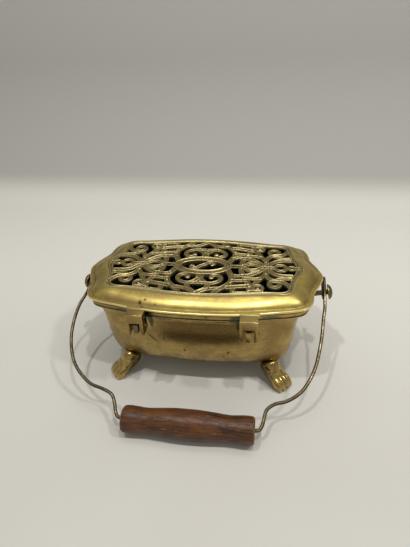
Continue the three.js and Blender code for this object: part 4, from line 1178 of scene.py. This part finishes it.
# Paw feet, merged from rounded bodies by a voxel remesh. Leg: way outwards, height and radius of the
# middle line; legEnd rounds it off by (reach, share) of the last radius. Paw: the mass that the toes
# grow out of, by way outwards and height. Toes: way outwards, across and height of their middles.
footValues = {
    "at": (0.579, 0.63), "turn": -43, "voxelMm": 0.45, "smooth": 10, "softness": 0.5,
    "leg": [
        (-0.2, 20.2, 5.4), (0.2, 19.4, 7.2), (1.2, 18, 8.3), (3, 15.4, 8.6), (5.2, 13, 8.4),
        (7.6, 10.6, 7.7), (10, 8.6, 6.7), (12.4, 7, 5.2),
    ],
    "legEnd": ((0.35, 0.94), (0.7, 0.71), (0.95, 0.3)),
    "paw": (11, 9.9), "pawHalf": (11.8, 8.3, 5.8), "pawDip": 39,
    "toes": [(15.1, -5.5, 6.2), (16, -1.95, 6.9), (16, 1.95, 6.9), (15.1, 5.5, 6.2)],
    "toeHalf": (9.4, 3.2, 5.1), "toeDip": 28, "toeFan": 1.2,
    "pad": (1.6, 6.6), "padEdge": 0.3, "padGap": 0.3, "padSides": 32, "rivetAt": (0.5, 0.5),
    "legSides": 28, "ovoidSides": 24, "ovoidRings": 15, "ovoidTip": 82, "hollows": (4.5, 6),
}


def roundRing(centre, side, up, halfWidth, halfHeight, sides):
    angle = np.arange(sides)[:, None] * 2 * math.pi / sides
    return centre + side * halfWidth * np.cos(angle) + up * halfHeight * np.sin(angle)


def footPoint(v, out, across, z):
    turn = math.radians(v["turn"])
    x = v["at"][0] * halfLength + out * math.cos(turn) - across * math.sin(turn)
    y = -v["at"][1] * halfDepth + out * math.sin(turn) + across * math.cos(turn)
    return np.array([x, y, z])


def slopeAxes(v, turn, dip):
    # along, across and upwards for a form that points outwards and down
    turn, dip = math.radians(v["turn"] + turn), math.radians(dip)
    side = np.array([-math.sin(turn), math.cos(turn), 0])
    along = np.array([math.cos(turn) * math.cos(dip), math.sin(turn) * math.cos(dip), -math.sin(dip)])
    return along, side, np.cross(along, side)


def ovoid(name, centre, axes, halves, v):
    along, side, up = axes
    length, halfWidth, halfHeight = halves
    rings = []
    for angle in np.radians(np.linspace(-v["ovoidTip"], v["ovoidTip"], v["ovoidRings"])):
        place, share = centre + along * length * math.sin(angle), math.cos(angle)
        width, height = halfWidth * share, halfHeight * share
        rings.append(inFrame(roundRing(place, side, up, width, height, v["ovoidSides"])))
    return loft(name, rings)


def buildLeg(v):
    rings = []
    for i, (out, z, radius) in enumerate(v["leg"]):
        last, ahead = v["leg"][max(i - 1, 0)], v["leg"][min(i + 1, len(v["leg"]) - 1)]
        dip = math.degrees(math.atan2(last[1] - ahead[1], ahead[0] - last[0]))
        along, side, up = slopeAxes(v, 0, dip)
        centre = footPoint(v, out, 0, z)
        rings.append(roundRing(centre, side, up, radius, radius, v["legSides"]))
    for push, share in v["legEnd"]:
        reach, small = push * radius, radius * share
        rings.append(roundRing(centre + along * reach, side, up, small, small, v["legSides"]))
    return loft("leg", [inFrame(ring) for ring in rings])


def buildFoot(v):
    out, z = v["paw"]
    axes = slopeAxes(v, 0, v["pawDip"])
    parts = [buildLeg(v), ovoid("paw", footPoint(v, out, 0, z), axes, v["pawHalf"], v)]
    for out, across, z in v["toes"]:
        axes = slopeAxes(v, across * v["toeFan"], v["toeDip"])
        parts.append(ovoid("toe", footPoint(v, out, across, z), axes, v["toeHalf"], v))
    # the pad under the tub's floor, round its rivet, and a bridge from it to the leg
    (thick, radius), top, edge = v["pad"], tubBottom - v["padGap"], v["padEdge"]
    rivet = (v["rivetAt"][0] * halfLength, -v["rivetAt"][1] * halfDepth, 0)
    plate = [(top - thick, radius - edge), (top - edge, radius), (top, radius - edge)]
    parts.append(lathe("plate", plate, rivet, (0, 0, 1), v["padSides"]))
    heel = footPoint(v, 0, 0, 0)
    low, high = (rivet[0] - radius, heel[1], top - thick), (heel[0] + radius, rivet[1], top)
    parts.append(boxMesh("bridge", low, high))
    foot = joinObjects("footForm", parts)
    change = foot.modifiers.new("remesh", "REMESH")
    change.mode, change.voxel_size, change.adaptivity = "VOXEL", v["voxelMm"] * mm, 0
    soften = foot.modifiers.new("soften", "SMOOTH")
    soften.factor, soften.iterations = v["softness"], v["smooth"]
    applyModifiers(foot)
    return foot


footMirrors = {
    "front_left": (-1, 1), "front_right": (1, 1), "back_left": (-1, -1), "back_right": (1, -1),
}


def placeFeet(v):
    form, centre = buildFoot(v), Vector(middle)
    for name, (mx, my) in footMirrors.items():
        mesh = form.data.copy()
        mirror = Matrix.Diagonal((mx, my, 1, 1))
        mesh.transform(Matrix.Translation(centre) @ mirror @ Matrix.Translation(-centre))
        if mx * my < 0:
            mesh.flip_normals()
        low = min(vertex.co.z for vertex in mesh.vertices)
        mesh.transform(Matrix.Translation((0, 0, max(0, -low))))
        foot = linkedObject("pawFoot" + name.title().replace("_", ""), mesh)
        shadeByAngle(mesh, allSmooth)
        markHollows(foot, *v["hollows"])
        finishPiece(foot, footMetal, "box", "foot_brass", "foot_" + name)
    bpy.data.objects.remove(form)


placeFeet(footValues)
for name, node in frame["nodes"].items():
    if name.startswith("foot_rivet"):
        dress(node, darkMetal)
print("feet made")

# Stage: a pale paper sweep, with its sizes in metres, then the lamps and the camera
stageValues = {
    "bendY": 0.36, "bendRadius": 0.22, "bendSteps": 16, "height": 1.6, "halfWidth": 2.6, "front": -2.6,
    # back: painted light towards the back; foot: painted shadow band; wall: painted shade
    "floor": "#c9c7c1", "back": "#d8d6cf", "shade": "#c2bfb8", "foot": "#a3a29d", "wall": "#aeada8",
    "grainMm": 180, "roughness": 0.9, "specular": 0.15,
}


def buildStage(v):
    radius, steps = v["bendRadius"], v["bendSteps"]
    section = [(v["front"], 0)]
    for i in range(steps + 1):
        angle = math.pi / 2 * i / steps
        section.append((v["bendY"] + radius * math.sin(angle), radius * (1 - math.cos(angle))))
    section.append((v["bendY"] + radius, v["height"]))
    points = [(x, y, z) for y, z in section for x in (-v["halfWidth"], v["halfWidth"])]
    faces = [(2 * i, 2 * i + 1, 2 * i + 3, 2 * i + 2) for i in range(len(section) - 1)]
    sweep = newObject("paperSweep", points, [], faces)
    shadeByAngle(sweep.data, allSmooth)
    # matt background paper: pale and even, with painted light paler towards the back, a painted
    # shadow band where it bends up, and painted shade darker where it rises out of the light
    material, tree, shader = newMaterial("backgroundPaper")
    coords = addNode(tree, "ShaderNodeTexCoord").outputs["Object"]
    place = addNode(tree, "ShaderNodeSeparateXYZ", Vector=coords)
    away, rise = place.outputs["Y"], place.outputs["Z"]
    grain = noisePatterns(tree, coords, {"cloud": (v["grainMm"], 2, 0.5, 0, (1, 1, 1))})["cloud"]
    colour = layered(tree, linear(v["floor"]), [
        (grain, 0.3, 0.7, 0.5, v["shade"]),
        # painted light paler towards the back, a painted shadow band at the bend, painted shade up the
        # wall
        (away, -0.12, 0.18, 0.8, v["back"]),
        (rise, 0.0, 0.03, 0.9, v["foot"]),
        (rise, 0.02, 0.3, 1.0, v["wall"]),
    ])
    fillSockets(tree, shader, Base_Color=colour, Roughness=v["roughness"])
    fillSockets(tree, shader, Specular_IOR_Level=v["specular"])
    sweep.data.materials.append(material)


buildStage(stageValues)

# Lamps, all aimed at the object: place and size in metres, watts, colour
lampAim = Vector((0, 0.03, 0.05))
lampValues = {
    "leftSpot": ((-0.27, -0.26, 1.3), (0.045, 0.045), 3.9, "#fffefc"),
    "rightSpot": ((0.27, -0.26, 1.3), (0.045, 0.045), 3.8, "#fffefc"),
    "farSpot": ((0.8, -0.2, 1.25), (0.1, 0.1), 4.2, "#fffefa"),
    "ceiling": ((0.15, 0.42, 1.6), (1.4, 0.42), 4.7, "#fffefc"),
}
for name, (place, size, watts, colour) in lampValues.items():
    lamp = bpy.data.lights.new(name, "AREA")
    lamp.shape, lamp.size, lamp.size_y = "RECTANGLE", *size
    lamp.energy, lamp.color = watts, linear(colour)[:3]
    holder = linkedObject(name, lamp)
    holder.location = place
    holder.rotation_euler = (lampAim - holder.location).to_track_quat("-Z", "Y").to_euler()

roomValues = {"colour": "#e6e4de", "strength": 0.56}
world = bpy.data.worlds.new("roomLight")
world.use_nodes = True
bpy.context.scene.world = world
background = world.node_tree.nodes["Background"]
background.inputs[0].default_value = linear(roomValues["colour"])
background.inputs[1].default_value = roomValues["strength"]

# Camera fitted to the rim, the grip and the feet, in mm from the body's middle
cameraValues = {
    "place": (55.44, -315.18, 282.61), "azimuth": 9.66, "elevation": 32.0, "roll": -2.72,
    "focalPixels": 411, "longSidePixels": 547, "sensorMm": 36, "clip": (0.01, 20),
}


def buildCamera(v):
    lens = bpy.data.cameras.new("camera")
    lens.sensor_fit, lens.sensor_width = "AUTO", v["sensorMm"]
    lens.lens = lens.sensor_width * v["focalPixels"] / v["longSidePixels"]
    lens.clip_start, lens.clip_end = v["clip"]
    camera = linkedObject("camera", lens)
    turn = Matrix.Rotation(math.radians(v["azimuth"]), 4, "Z")
    turn = turn @ Matrix.Rotation(math.radians(90 - v["elevation"]), 4, "X")
    turn = turn @ Matrix.Rotation(math.radians(v["roll"]), 4, "Z")
    camera.matrix_world = Matrix.Translation(Vector(inFrame(v["place"]))) @ turn
    bpy.context.scene.camera = camera


buildCamera(cameraValues)
bpy.context.scene.view_settings.view_transform = "Standard"
print("stage, lamps and camera made")
